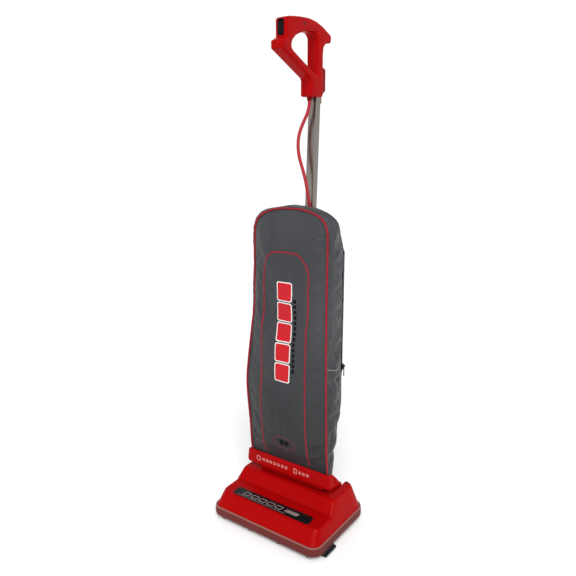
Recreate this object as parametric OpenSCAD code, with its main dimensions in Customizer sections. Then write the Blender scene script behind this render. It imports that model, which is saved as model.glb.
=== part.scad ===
// Upright vacuum cleaner with a low floor head, a hanging cloth bag and a loop handle.
// Millimetres. X is across the machine, -Y is its front and +Z is up.
// The origin is on the floor, at the middle of the whole machine's width and depth.

/* [Overall] */
// Height from the floor to the top of the handle
overall_h = 1205; // [1190:5:1220]
// Depth from the bumper's front to the tip of the cord hook
overall_d = 270; // [268:1:274]

/* [Floor head] */
// Width of the bumper
base_w = 321; // [319:1:325]
// Depth of the bumper, front to back
base_d = 238; // [236:1:240]
// Height of the rear deck
deck_z = 98.5; // [98:0.5:100]
// Height of the low front deck at its front ridge
ridge_z = 66; // [64:1:67]
// Wall of the moulded covers
wall = 2.5; // [2:0.5:3]

/* [Drive] */
// Height of the motor shaft, which is also the tilt axis
motor_z = 60; // [59:1:61]
// Outer radius of the motor casing
motor_r = 36; // [34:1:36]
// Radius of the brush roll over its bristles
roll_r = 25; // [23:1:25]
// Radius of the motor pulley under the belt
pulley_r = 7; // [6:1:8]
// Radius of the belt groove in the brush roll
groove_r = 14; // [13:1:14]
// Radius of the rear wheels
wheel_r = 20; // [19:1:20]

/* [Handle tube] */
// Width of the flat-sided tube
tube_w = 25.4; // [25:0.2:26]
// Depth of the flat-sided tube
tube_d = 17.5; // [17:0.5:18]
// Backward lean of the tube, in degrees
tube_lean = 2.85; // [2.7:0.05:3]

/* [Bag] */
// Width of the outer bag along its straight sides
bag_w = 230; // [228:2:232]
// Height of the top of the outer bag
bag_top = 797; // [790:1:800]
// Width of the retaining bar across the foot of the bag
bar_w = 258; // [256:1:260]

/* [Handle] */
// Width of the handle moulding
handle_w = 32; // [31:1:34]
// Diameter of the lead between the handle and the tube
lead_d = 8; // [7.6:0.2:8.2]

/* [Hidden] */
$fn = 64;

// Derived places
front = -overall_d / 2;
back = front + base_d;
handle_top = overall_h;
axis_y = 39;
roll_y = front + 41;
roll_z = roll_r + 1;
wheel_y = back - 33;
bumper_z0 = 11;
bumper_z1 = 34;
arm_x0 = 100;
arm_x1 = 116;
well_x = 119;
saddle_y = 22;
fan_x0 = 60;
fan_x1 = 95.6;
belt_x = -66;
belt_half = 4;
bar_z0 = 118;
bar_z1 = 156;
bar_y = front + 112;
bar_end = 14;
zip_x = bag_w / 2 - 10;
run = 0.05;
hook_z = 560;
rocker_swing = 14;
hanger_z = bag_top - 8;
foot_z = 125;
fill_r = 14.5;
fill_y = 12;
lead_y = 65;
lead_r = 7;

// Middle of the tube's depth at a height
function tube_y(z) = 35.65 + tan(tube_lean) * z;
// Middle of the tube's front face at a height
function tube_front(z) = tube_y(z) - tube_d / 2;

// ---- Helpers ----
module along_x(x0, x1, r, y, z) {
    translate([x0, y, z]) rotate([0, 90, 0]) cylinder(h = x1 - x0, r = r);
}

module ring_x(x0, x1, r_out, r_in, y, z) {
    difference() {
        along_x(x0, x1, r_out, y, z);
        along_x(x0 - 1, x1 + 1, r_in, y, z);
    }
}

module box(a, b) {
    translate(a) cube(b - a);
}

// A side outline, given as [y, z] points, extruded across X
module side_extrude(x0, x1) {
    translate([x0, 0, 0]) rotate([90, 0, 90]) linear_extrude(x1 - x0) children();
}

// A front outline, given as [x, z] points, extruded from y0 to y1
module front_extrude(y0, y1) {
    translate([0, y1, 0]) rotate([90, 0, 0]) linear_extrude(y1 - y0) children();
}

// A flat plate with rounded plan corners
module slab(w, y0, y1, r, z, t) {
    translate([0, (y0 + y1) / 2, z]) linear_extrude(t)
        offset(r = r) square([w - 2 * r, y1 - y0 - 2 * r], center = true);
}

// Follows the tube's lean about its foot on the tilt axis
module leaned() {
    translate([0, tube_y(0), 0]) rotate([-tube_lean, 0, 0]) children();
}

module pan_screw(r = 3.5, len = 10) {
    cylinder(h = 2, r = r, $fn = 24);
    translate([0, 0, -len]) cylinder(h = len, r = r * 0.45, $fn = 24);
}

// ---- Floor head ----
// Lower half of the hood, inset by i
module hood_low(i) {
    hull() {
        slab(base_w - 8 - 2 * i, front + 5 + i, back - 4 - i, 26 - i, bumper_z0 + 2 - i, 20, $fn = 32);
        slab(base_w - 10 - 2 * i, front + 8 + i, back - 7 - i, 24 - i, 40 - i, 1, $fn = 32);
        slab(base_w - 22 - 2 * i, front + 27 + i, back - 20 - i, 22 - i, ridge_z - 1 - i, 1, $fn = 32);
        slab(base_w - 26 - 2 * i, front + 80 + i, back - 22 - i, 20 - i, ridge_z + 5 - i, 1, $fn = 32);
    }
}

// Upper half of the hood, inset by i
module hood_high(i) {
    hull() {
        slab(base_w - 14 - 2 * i, front + 84 + i, back - 8 - i, 20 - i, 40 - i, 1, $fn = 32);
        slab(base_w - 38 - 2 * i, front + 106 + i, back - 30 - i, 16 - i, deck_z - 4 - i, 1, $fn = 32);
        slab(base_w - 45 - 2 * i, front + 110 + i, back - 35 - i, 14 - i, deck_z - 1 - i, 1, $fn = 32);
    }
}

module hood() {
    color("firebrick") difference() {
        union() {
            hood_low(0);
            hood_high(0);
        }
        hood_low(wall);
        hood_high(wall);
        // Saddle that the yoke swings back through
        box([-well_x, saddle_y, 42], [well_x, back + 10, deck_z + 10]);
        // Open underside
        slab(base_w - 8 - 2 * wall, front + 5 + wall, back - 4 - wall, 24, 0, 40);
        hood_screw_places() cylinder(h = 40, r = 2, center = true, $fn = 24);
    }
}

module hood_screw_places() {
    for (s = [-1, 1]) {
        translate([s * 126, back - 41, deck_z]) children();
    }
}

module hood_screws() {
    color("silver") hood_screw_places() pan_screw(3.2, 12);
}

module label_plate() {
    // The black strip on the low front deck, rounded at both ends
    slope = atan(6 / 53);
    color("black") translate([0, front + 46.5, ridge_z + 2.3]) rotate([slope, 0, 0])
        linear_extrude(1.2) hull() {
            for (x = [-102, 102]) {
                translate([x, 0]) circle(d = 28, $fn = 32);
            }
        }
}

module bumper() {
    color("dimgray") difference() {
        slab(base_w, front, back, 28, bumper_z0, bumper_z1 - bumper_z0);
        slab(base_w - 7.8, front + 3.9, back - 3.9, 25, bumper_z0 - 1, bumper_z1 + 2);
        // Gaps where the side brushes come out
        for (s = [-1, 1]) {
            translate([s * base_w / 2, front + 56, bumper_z0 - 1]) cube([30, 52, 4.4], center = true);
        }
    }
}

module chassis() {
    color("darkslategray") difference() {
        union() {
            // Floor behind the brush chamber
            slab(base_w - 18, roll_y + 30, back - 8, 26, 12, 3);
            // Walls that carry the tilt axis
            for (s = [-1, 1]) {
                translate([s * (well_x + 2), 40, 45]) cube([4, 50, 60], center = true);
                // Walls that carry the wheels' axles
                translate([s * 149, wheel_y - 3, 25]) cube([3, 28, 22], center = true);
                translate([s * 122.5, wheel_y, 25]) cube([3, 34, 22], center = true);
            }
            // Cradle under the motor
            for (x = [-34, 20]) {
                box([x, axis_y - 24, 15], [x + 8, axis_y + 24, 40]);
            }
            // Shelf behind the motor
            box([-well_x, axis_y + 40, 15], [well_x, axis_y + 43, 38]);
            // Roof of the brush chamber
            difference() {
                ring_x(-142, 142, 29, 26.5, roll_y, roll_z);
                box([-150, roll_y - 40, -10], [150, roll_y + 40, 12]);
            }
            box([-146, roll_y + 26, 12], [146, roll_y + 31, 15]);
        }
        along_x(-130, 130, 14, axis_y, motor_z);
        along_x(-60, 60, motor_r + 0.3, axis_y, motor_z);
        // Wheel openings
        for (s = [-1, 1]) {
            translate([s * 135.8, wheel_y, 15]) cube([22.8, 2 * wheel_r + 5, 20], center = true);
            along_x(s * 136 - 18, s * 136 + 18, 4, wheel_y, wheel_r);
        }
        // Slot for the belt and port for the dirt duct
        box([belt_x - 7, roll_y + 8, 14], [belt_x + 7, roll_y + 32, 60]);
        box([45, roll_y + 18, 16], [59, roll_y + 32, 46]);
        // Room for the duct and the belt over the floor
        box([43, roll_y + 24, 11], [61, roll_y + 40, 60]);
    }
    // Steel bosses that hold the left trunnion pin
    color("darkslategray") ring_x(-well_x - 4, -well_x, 14, 6, axis_y, motor_z);
    color("darkslategray") ring_x(well_x, well_x + 4, 14, 12.1, axis_y, motor_z);
}

module base_plate() {
    z0 = 6;
    color("slategray") difference() {
        union() {
            slab(base_w - 18, front + 8, roll_y + 78, 20, z0, 3);
            // Glide rails that slide on the floor
            for (x = [-128, -44, 44, 128]) {
                box([x - 5, roll_y + 34, 0], [x + 5, roll_y + 70, z0]);
                box([x - 3, front + 9, 0], [x + 3, front + 13, z0]);
            }
        }
        // Mouth under the brush roll
        box([-140, roll_y - 26.5, -5], [140, roll_y + 27, 20]);
        // Holes for the quarter-turn latches
        for (x = [-86, 86]) {
            translate([x, roll_y + 66, 0]) cylinder(h = 20, r = 6.05);
        }
    }
}

// Quarter-turn latch: a shank through the plate with a cross bar above and a slotted head below
module latch(x) {
    color("gray") translate([x, roll_y + 66, 0]) difference() {
        union() {
            translate([0, 0, 3]) cylinder(h = 2.6, r = 9.5);
            translate([0, 0, 5]) cylinder(h = 6.6, r = 6);
            translate([-8, -2, 9.4]) cube([16, 4, 2.2]);
        }
        translate([-7, -1, 2]) cube([14, 2, 2]);
    }
}

module base_latch_left() {
    latch(-86);
}

module base_latch_right() {
    latch(86);
}

module side_brush_holders() {
    color("black") for (s = [-1, 1]) {
        translate([s * 156, front + 56, 9.9]) cube([8, 46, 3.8], center = true);
    }
}

module side_brush_bristles() {
    // Stiff pads that reach out past the bumper on both sides
    color("black") for (s = [-1, 1]) {
        translate([s * 160, front + 56, 5]) cube([16, 46, 6], center = true);
    }
}

// ---- Motor, fan and drive ----
module motor_casing() {
    color("dimgray") difference() {
        along_x(-44, 30, motor_r, axis_y, motor_z);
        along_x(-45, 31, motor_r - 2, axis_y, motor_z);
        // Cooling slots
        for (a = [0:45:315]) {
            translate([-30, axis_y, motor_z]) rotate([a, 0, 0])
                translate([0, 0, motor_r - 1]) cube([8, 10, 6], center = true);
        }
    }
}

module motor_stator() {
    color("silver") ring_x(-22, 22, motor_r - 2, 20.6, axis_y, motor_z);
}

module motor_end_caps() {
    color("gray") {
        ring_x(-50, -44, motor_r, 11, axis_y, motor_z);
        ring_x(30, 36, motor_r, 11, axis_y, motor_z);
    }
}

module motor_bearings() {
    color("silver") {
        ring_x(-50, -44, 11, 4 + run, axis_y, motor_z);
        ring_x(30, 36, 11, 4 + run, axis_y, motor_z);
    }
}

module carbon_brushes() {
    color("black") for (s = [-1, 1]) {
        translate([-34, axis_y + s * 19.5, motor_z]) cube([7, 14, 6], center = true);
    }
}

module motor_cover() {
    // Cover over the motor and fan in the hood's saddle, with a shelf behind it
    r = 41;
    color("firebrick") difference() {
        union() {
            along_x(-98.6, 98.6, r, axis_y, motor_z);
            box([-98.6, axis_y, 38.5], [98.6, back - 12.5, 41]);
        }
        along_x(-96, 96, r - wall, axis_y, motor_z);
        along_x(-110, 110, 15, axis_y, motor_z);
        box([-120, axis_y - 60, 0], [120, back, 38.5]);
        box([-120, axis_y - 60, 0], [120, saddle_y + 0.4, 120]);
        box([-96, axis_y - 60, 30], [96, axis_y + 36, motor_z]);
        // Vents over the motor
        for (x = [-40:10:20]) {
            translate([x, axis_y + 24, motor_z + 30]) cube([3, 14, 30], center = true);
        }
    }
}

module fan_housing() {
    color("gray") difference() {
        union() {
            along_x(fan_x0, fan_x1, 37.5, axis_y, motor_z);
            // Hollow trunnion that the yoke turns on
            along_x(fan_x1, well_x + 4, 12, axis_y, motor_z);
        }
        along_x(fan_x0 + wall, fan_x1 - wall, 35, axis_y, motor_z);
        along_x(fan_x0 - 1, fan_x0 + 5, 16, axis_y, motor_z);
        along_x(fan_x1 - 5, well_x + 5, 9, axis_y, motor_z);
    }
}

module intake_duct() {
    // Dirt duct from the brush chamber to the eye of the fan
    color("dimgray") difference() {
        side_extrude(44, 59.7) polygon([
            [roll_y + 30, 18], [roll_y + 30, 44], [roll_y + 60, 60], [axis_y - 24, 88],
            [axis_y, 92], [axis_y + 22, 84], [axis_y + 32, motor_z], [axis_y + 18, 34],
            [axis_y - 20, 24], [roll_y + 60, 18]]);
        side_extrude(46, 57.7) polygon([
            [roll_y + 29, 20.4], [roll_y + 29, 42], [roll_y + 61, 57.6], [axis_y - 23, 85.6],
            [axis_y, 89.4], [axis_y + 20.6, 82], [axis_y + 29.4, motor_z], [axis_y + 17, 36.4],
            [axis_y - 21, 26.4], [roll_y + 59, 20.4]]);
        along_x(43, 50, 4.6, axis_y, motor_z);
        along_x(55, 61, 16, axis_y, motor_z);
    }
}

// Loop of belt between two wheels, at distance g outside them
module belt_loop(g) {
    hull() {
        translate([axis_y, motor_z]) circle(r = pulley_r + g, $fn = 48);
        translate([roll_y, roll_z]) circle(r = groove_r + g, $fn = 48);
    }
}

module drive_belt() {
    color("black") side_extrude(belt_x - belt_half, belt_x + belt_half) difference() {
        belt_loop(2.3);
        belt_loop(0.3);
    }
}

module roll_bearing_blocks() {
    color("dimgray") for (s = [-1, 1]) {
        x0 = s > 0 ? 138 : -142;
        difference() {
            along_x(x0, x0 + 4, 26.4, roll_y, roll_z);
            box([x0 - 1, roll_y - 30, -5], [x0 + 5, roll_y + 30, 12]);
            along_x(x0 - 1, x0 + 5, 4 + run, roll_y, roll_z);
        }
    }
}

module trunnion_pin() {
    color("silver") along_x(-well_x - 4, -arm_x0 + 1, 6, axis_y, motor_z);
}

module detent_spring() {
    // Leaf that holds the yoke upright
    color("silver") {
        box([-112, 22, 15], [-104, 23.2, 43]);
        box([-112, 22, 43], [-104, 52, 44.2]);
    }
}

module wheel_axles() {
    color("silver") for (s = [-1, 1]) {
        x0 = s > 0 ? 121 : -151;
        along_x(x0, x0 + 30, 4, wheel_y, wheel_r);
    }
}

module motor_shaft() {
    color("silver") along_x(-76, 88, 4, axis_y, motor_z);
}

module armature() {
    color("chocolate") {
        ring_x(-20, 20, 20, 4, axis_y, motor_z);
        ring_x(-40, -26, 12, 4, axis_y, motor_z);
    }
}

module fan_impeller() {
    color("gainsboro") {
        ring_x(66, 88, 8, 4, axis_y, motor_z);
        ring_x(86, 88, 33, 7, axis_y, motor_z);
        for (a = [0:45:315]) {
            translate([0, axis_y, motor_z]) rotate([a, 0, 0]) translate([66, -0.9, 7])
                cube([20.5, 1.8, 25]);
        }
    }
}

module drive_pulley() {
    color("silver") {
        ring_x(belt_x - 5.5, belt_x + 5.5, pulley_r, 4, axis_y, motor_z);
        ring_x(belt_x - 6.5, belt_x - 4.5, pulley_r + 3, 4, axis_y, motor_z);
        ring_x(belt_x + 4.5, belt_x + 6.5, pulley_r + 3, 4, axis_y, motor_z);
    }
}

module brush_roll_core() {
    color("saddlebrown") difference() {
        union() {
            along_x(-137, 137, 16, roll_y, roll_z);
            along_x(-141.5, 141.5, 4, roll_y, roll_z);
        }
        ring_x(belt_x - 5, belt_x + 5, 20, groove_r, roll_y, roll_z);
        tuft_places(0.02) cylinder(h = 20, r = 2.3, $fn = 24);
    }
}

// Two helical rows of tufts, clear of the belt's groove
module tuft_places(gap) {
    for (row = [0, 180], x = [-130:10:130]) {
        if (abs(x - belt_x) > 8) {
            translate([x, roll_y, roll_z]) rotate([row + x * 1.2, 0, 0])
                translate([0, 0, 13 - gap]) children();
        }
    }
}

module brush_roll_bristles() {
    color("black") tuft_places(0) cylinder(h = roll_r - 13, r = 2.3, $fn = 24);
}

module wheel(side) {
    x0 = side > 0 ? 125 : -145;
    color("dimgray") ring_x(x0, x0 + 20, wheel_r - 4, 4 + run, wheel_y, wheel_r);
}

module wheel_left() {
    wheel(-1);
}

module wheel_right() {
    wheel(1);
}

module tyre(side) {
    x0 = side > 0 ? 125 : -145;
    color("black") ring_x(x0, x0 + 20, wheel_r, wheel_r - 4, wheel_y, wheel_r);
}

module tyre_left() {
    tyre(-1);
}

module tyre_right() {
    tyre(1);
}

// ---- Yoke, tube and bar ----
module yoke() {
    z0 = 102;
    z1 = bar_z0;
    color("firebrick") difference() {
        union() {
            // Arms with their bosses on the tilt axis
            for (s = [-1, 1]) {
                x0 = s > 0 ? arm_x0 : -arm_x1;
                along_x(x0, x0 + 16, 15, axis_y, motor_z);
                box([x0, axis_y - 12, motor_z], [x0 + 16, axis_y + 12, z0]);
            }
            // Cross beam, cranked in from the arms, and the shelf that the bag's bar stands on
            front_extrude(14, 44) polygon([
                [-arm_x1, z0], [arm_x1, z0], [arm_x1, z0 + 4], [96, z1], [-96, z1], [-arm_x1, z0 + 4]]);
            box([-96, bar_y + 14, z0], [96, 15, z1]);
            // Sockets of the filling tube and of the handle tube
            translate([0, fill_y, z0]) cylinder(h = 32, r = fill_r + 3.5);
            leaned() translate([-18, -14, z0 + 2]) cube([36, 27, 56]);
        }
        // Dirt channel: up the right arm, along the cross beam and into the filling tube
        along_x(arm_x0 - 1, arm_x1 + 1, 12 + run, axis_y, motor_z);
        along_x(-arm_x1 - 1, -arm_x0 + 1, 6 + run, axis_y, motor_z);
        front_extrude(31, 41) polygon([
            [103, motor_z], [112.5, motor_z], [112.5, z0 + 2.6], [94.5, z1 - 2.6], [30, z1 - 2.6],
            [30, z0 + 2.6], [103, z0 + 2.6]]);
        box([-6, fill_y - 6, z0 + 2.6], [36, 31.5, z1 - 4]);
        translate([0, fill_y, z0 + 2.6]) cylinder(h = 20, r = 11.5);
        translate([0, fill_y, z0 + 14]) cylinder(h = 30, r = fill_r);
        // Hollows that lighten the beam from below
        box([-90, bar_y + 17, z0 - 1], [-24, 41, z1 - 3]);
        box([40, bar_y + 17, z0 - 1], [90, 28, z1 - 3]);
        tube_hole(z0 + 10, 200);
        tube_screw_places() cylinder(h = 40, r = 1.7, center = true, $fn = 24);
        bar_screw_places() cylinder(h = 30, r = 1.75, center = true, $fn = 24);
    }
}

// Space that the handle tube fills, between two heights
module tube_hole(z0, z1) {
    leaned() translate([0, 0, z0]) linear_extrude(z1 - z0)
        square([tube_w, tube_d], center = true);
}

module tube_profile(i) {
    offset(r = 4 - i, $fn = 32) square([tube_w - 8, tube_d - 8], center = true);
}

module handle_tube() {
    color("silver") difference() {
        leaned() translate([0, 0, 112.2]) linear_extrude(1074 - 112.2) difference() {
            tube_profile(0);
            tube_profile(1.4);
        }
        tube_screw_places() cylinder(h = 22, r = 1.7, center = true, $fn = 24);
        // Slanting hole where the lead goes in
        lead_end() translate([0, 0, -30]) cylinder(h = 40, r = lead_d / 2 + 0.2);
    }
}

// Puts +Z out of the machine at each screw that holds the tube: in the yoke and in the handle
module tube_screw_places() {
    leaned() translate([0, 13, 142]) rotate([-90, 0, 0]) children();
    translate([-handle_w / 2, tube_y(1056), 1056]) rotate([0, -90, 0]) children();
}

module tube_screws() {
    color("silver") tube_screw_places() difference() {
        pan_screw(3.4, 7);
        translate([0, 0, 1.8]) cube([5, 0.8, 1.2], center = true);
    }
}

module bag_bar() {
    // Bar in front of the foot of the bag, with rounded ends that return behind it
    color("firebrick") difference() {
        front_extrude(bar_y, bar_y + 24) hull() {
            for (s = [-1, 1]) {
                translate([s * (bar_w / 2 - 6), bar_z0 + 6]) circle(r = 6, $fn = 32);
                translate([s * (bar_w / 2 - 8), bar_z1 - 5]) circle(r = 5, $fn = 32);
            }
        }
        box([-bar_w / 2 + 6, bar_y + 4, bar_z0 + 3], [bar_w / 2 - 6, bar_y + 30, bar_z1 + 5]);
        for (s = [-1, 1]) {
            translate([s * 130, bar_y + bar_end + 10, 140]) cube([36, 20, 50], center = true);
        }
        // Room for the socket of the filling tube
        translate([0, fill_y, bar_z0 - 1]) cylinder(h = 20, r = fill_r + 4.5);
        bar_screw_places() cylinder(h = 30, r = 2, center = true, $fn = 24);
    }
}

module bar_screw_places() {
    for (x = [-94, 94]) {
        translate([x, bar_y + 18, bar_z0 + 3]) children();
    }
}

module bar_screws() {
    color("silver") bar_screw_places() difference() {
        pan_screw(3.6, 12);
        translate([0, 0, 2.4]) cube([5, 0.9, 1.4], center = true);
    }
}

// ---- Bag ----
// Half-width of the bag at each height, as [x, z] points for the right side
function bag_side(i) = [
    [118 - i, foot_z + i], [118 - i, 160], [117 - i, 205], [118 - i, 260], [121 - i, 330],
    [120 - i, 380], [bag_w / 2 + 1 - i, 454], [bag_w / 2 - i, 600], [bag_w / 2 - 1 - i, 700],
    [bag_w / 2 - 5 - i, bag_top - 52], [bag_w / 2 - 14 - i, bag_top - 33 - i],
    [bag_w / 2 - 27 - i, bag_top - 20 - i], [bag_w / 2 - 46 - i, bag_top - 11 - i],
    [bag_w / 2 - 69, bag_top - 4 - i], [bag_w / 2 - 93, bag_top - i]];

function mirrored(p) = [for (k = [len(p) - 1:-1:0]) [-p[k][0], p[k][1]]];

module bag_front_outline(i) {
    polygon(concat(bag_side(i), mirrored(bag_side(i))));
}

// Front to back outline of the bag, as [y, z] points
module bag_side_outline(i) {
    polygon([
        [bar_y + 5 + i, foot_z + i], [bar_y + 5 + i, 160], [-30 + i, 190], [-38 + i, 230],
        [-42 + i, 300], [-43 + i, 380], [-40 + i, 454], [-36 + i, 550], [-32 + i, 690],
        [-19 + i, bag_top - 26], [-10 + i, bag_top - 8 - i],
        [-2 + i, bag_top - i], [30, bag_top - i], [44 - i, bag_top - 9 - i],
        [50 - i, bag_top - 22], [52 - i, bag_top - 36], [62 - i, bag_top - 70],
        [66 - i, 560], [66 - i, 330], [52 - i, 260], [36 - i, 205],
        [33.5 - i, 180], [33.5 - i, foot_z + i]]);
}

// Plan of the right half of the bag: a bowed front and back corners chamfered for the zip.
// The front corners are at depth y.
module bag_plan(i, y) {
    right = [[60, -42 + i], [86, -36 + i + (y + 36) * 0.3], [103, y + i], [125 - i, y + 3 + i],
        [125 - i, 36], [zip_x - i, 52 - i], [zip_x - i, 66 - i]];
    polygon(concat([[0, -44 + i]], right, mirrored(right)));
}

// Heights where the plan changes, and the depth of the front corners between them
plan_z = [100, 200, 245, 290, 380, 410, 440, 470, 500, 530, 850];
function corner_y(z) = lookup(z, [
    [150, -20], [222, -25], [267, -29], [335, -33.5], [395, -32], [425, -30], [455, -27],
    [485, -24.5], [515, -21], [560, -16], [700, -15.5]]);

module bag_form(i) {
    intersection() {
        front_extrude(-60, 90) bag_front_outline(i);
        side_extrude(-130, 130) bag_side_outline(i);
        union() {
            for (k = [0:len(plan_z) - 2]) {
                translate([0, 0, plan_z[k]]) linear_extrude(plan_z[k + 1] - plan_z[k])
                    bag_plan(i, corner_y(plan_z[k] / 2 + plan_z[k + 1] / 2));
            }
        }
    }
}

// Groove in the back of the bag where the tube lies, widened by i
module tube_groove(i) {
    leaned() translate([-tube_w / 2 - 4 - i, -tube_d / 2 - 1.5 - i, 100])
        cube([tube_w + 8 + 2 * i, 60, 640]);
}

module outer_bag() {
    shell = 2.4;
    color("dimgray") {
        // Loop behind the top that the hanger's spring holds
        y = tube_front(hanger_z) - 7.2;
        box([-11, y - 9, hanger_z - 18], [-4, y + 3, hanger_z - 16.2]);
    }
    color("dimgray") difference() {
        bag_form(0);
        difference() {
            bag_form(shell);
            tube_groove(shell);
        }
        tube_groove(0);
        // Mouth in the foot, round the socket of the filling tube
        translate([0, fill_y, 100]) cylinder(h = 50, r = fill_r + 4.5);
        leaned() translate([-20, -16, 100]) cube([40, 60, 64]);
    }
}

// Route of the piping up the right edge of the front panel, as [x, y, z] points
seam = [[116, -22, 162], [116.5, -23.5, 190], [116.2, -25, 222], [117.7, -28.5, 261], [118.6, -32.5, 310],
    [119, -34.5, 354], [116.8, -32.3, 398], [112.8, -27.3, 454], [109, -22, 507], [105, -16.5, 550],
    [104.8, -15, 725], [102.8, -13.5, 745], [96.8, -12.5, 761], [86, -11.5, 773], [68, -11, 782],
    [46, -10.5, 789], [22, -10.3, 792]];

// Cord of piping sewn into the edge of the front panel
module bag_piping() {
    left = [for (k = [len(seam) - 1:-1:0]) [-seam[k][0], seam[k][1], seam[k][2]]];
    color("firebrick") sweep(concat(seam, left), 1.6, 8);
}

module bag_zip() {
    // Two rows of teeth on a tape, up the back of the right side
    x = zip_x;
    color("black") {
        box([x, 52, 396], [x + 1, 62, 690]);
        box([x + 1, 55.6, 400], [x + 2, 58.4, 686]);
    }
}

module zip_slider() {
    // Slider over the teeth, with two ears and a pin for its pull
    x = zip_x;
    color("dimgray") {
        difference() {
            box([x + 1.3, 53, 402], [x + 4.6, 61, 416]);
            box([x + 0.5, 55.2, 400], [x + 2.3, 58.8, 420]);
        }
        for (y = [53.4, 59.4]) {
            box([x + 4.6, y, 408.6], [x + 8.6, y + 1.2, 413.4]);
        }
        translate([x + 7, 60.6, 411]) rotate([90, 0, 0]) cylinder(h = 7.2, r = 0.9, $fn = 24);
    }
}

module zip_pull() {
    x = zip_x;
    color("gray") difference() {
        union() {
            box([x + 6.2, 55, 386], [x + 7.8, 59, 410]);
            translate([x + 7, 59, 411]) rotate([90, 0, 0]) cylinder(h = 4, r = 1.9, $fn = 32);
        }
        translate([x + 7, 60, 411]) rotate([90, 0, 0]) cylinder(h = 6, r = 0.95, $fn = 32);
        translate([x, 57, 390]) rotate([0, 90, 0]) cylinder(h = 12, r = 1.2, $fn = 24);
    }
}

module bag_hanger() {
    // Bracket on the front of the tube, hidden by the top of the bag
    y = tube_front(hanger_z) - 1.7;
    color("silver") difference() {
        union() {
            leaned_at(hanger_z) translate([-11, -1.6, -14]) cube([9, 1.5, 18]);
            box([-11, y - 9, hanger_z + 1.4], [-4, y + 1, hanger_z + 3]);
        }
        translate([-7.5, y - 5.5, hanger_z]) cylinder(h = 6, r = 1.4, $fn = 24);
    }
}

// Puts the origin on the front of the tube at height z, leaning with it
module leaned_at(z) {
    translate([0, tube_front(z), z]) rotate([-tube_lean, 0, 0]) children();
}

module hanger_spring() {
    // Close-wound spring from the bracket down to the loop on the bag
    y = tube_front(hanger_z) - 7.2;
    color("silver") translate([-7.5, y, hanger_z - 16]) difference() {
        cylinder(h = 17.2, r = 2.6, $fn = 24);
        translate([0, 0, -1]) cylinder(h = 60, r = 1.7, $fn = 24);
    }
}

module fill_tube() {
    color("dimgray") translate([0, fill_y, 116.2]) rotate([-tube_lean, 0, 0]) difference() {
        cylinder(h = 560, r = fill_r - 0.4);
        translate([0, 0, -1]) cylinder(h = 570, r = fill_r - 2.2);
    }
}

module bag_dock() {
    // Elbow on the filling tube, with a forward spout that the inner bag pushes on to
    z = 676;
    y = fill_y + tan(tube_lean) * (z - 116);
    color("gray") difference() {
        union() {
            translate([0, y, z]) rotate([-tube_lean, 0, 0]) cylinder(h = 34, r = fill_r + 1.4);
            translate([0, y, z + 18]) rotate([90, 0, 0]) cylinder(h = 34, r = 14);
        }
        translate([0, y, z - 1]) rotate([-tube_lean, 0, 0]) cylinder(h = 31, r = fill_r - 0.4);
        translate([0, y - 5, z + 18]) rotate([90, 0, 0]) cylinder(h = 34, r = 11.6);
    }
}

module inner_bag_collar() {
    y = fill_y + tan(tube_lean) * 560 - 22;
    color("tan") difference() {
        translate([-45, y - 2.8, 655]) cube([90, 2.8, 80]);
        translate([0, y + 1, 694]) rotate([90, 0, 0]) cylinder(h = 8, r = 14.1);
    }
}

module inner_bag() {
    // Paper bag hanging in front of the filling tube
    color("wheat") difference() {
        union() {
            box([-70, -21, 230], [70, -5, 645]);
            box([-60, -17, 640], [60, 15, 742]);
        }
        box([-69, -20, 231], [69, -6, 641]);
        box([-59, -16, 640], [59, 14, 741]);
        translate([0, 16, 694]) rotate([90, 0, 0]) cylinder(h = 4, r = 16);
    }
}

// ---- Handle ----
// Outline of the handle's moulding seen from the side, as [y, z] points from the top
function handle_outer() = [
    [front + 89.5, handle_top - 50], [front + 89, handle_top - 17], [front + 92, handle_top - 10],
    [front + 99, handle_top - 5.5], [front + 115, handle_top - 3.5], [front + 165, handle_top],
    [front + 206, handle_top - 2], [front + 232, handle_top - 8], [front + 268, handle_top - 22],
    [front + 270, handle_top - 29], [front + 268, handle_top - 38], [front + 264, handle_top - 41],
    [front + 246, handle_top - 44], [front + 238, handle_top - 50], [front + 235, handle_top - 58],
    [front + 235, handle_top - 161], [front + 185, handle_top - 164], [front + 185, handle_top - 126],
    [front + 72.5, handle_top - 76], [front + 72, handle_top - 60]];

function handle_window() = [
    [front + 108, handle_top - 68], [front + 113, handle_top - 55], [front + 125, handle_top - 44],
    [front + 145, handle_top - 35], [front + 170, handle_top - 28], [front + 200, handle_top - 26],
    [front + 209, handle_top - 30], [front + 211, handle_top - 38], [front + 211, handle_top - 118],
    [front + 204, handle_top - 119], [front + 109, handle_top - 75]];

module handle_half(s) {
    x0 = s > 0 ? 0 : -handle_w / 2;
    difference() {
        side_extrude(x0, x0 + handle_w / 2) difference() {
            polygon(handle_outer());
            polygon(handle_window());
        }
        // Room for the switch, the tube, the wiring and the two glands
        box([-7.2, front + 80, handle_top - 46], [7.2, front + 112, handle_top - 16]);
        box([-10, front + 196, handle_top - 132], [10, front + 232, handle_top - 120]);
        tube_hole(1030, 1074.2);
        tube_screw_places() cylinder(h = 22, r = 1.7, center = true, $fn = 24);
        translate([0, lead_y, handle_top - 170]) cylinder(h = 44, r = lead_r);
        handle_screw_places() rotate([0, 90, 0]) cylinder(h = 60, r = 1.6, center = true, $fn = 24);
        handle_screw_places() translate([handle_w / 2 - 2.5, 0, 0]) rotate([0, 90, 0])
            cylinder(h = 10, r = 3.6, $fn = 24);
    }
}

module handle_left() {
    color("firebrick") handle_half(-1);
}

module handle_right() {
    color("firebrick") handle_half(1);
}

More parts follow.
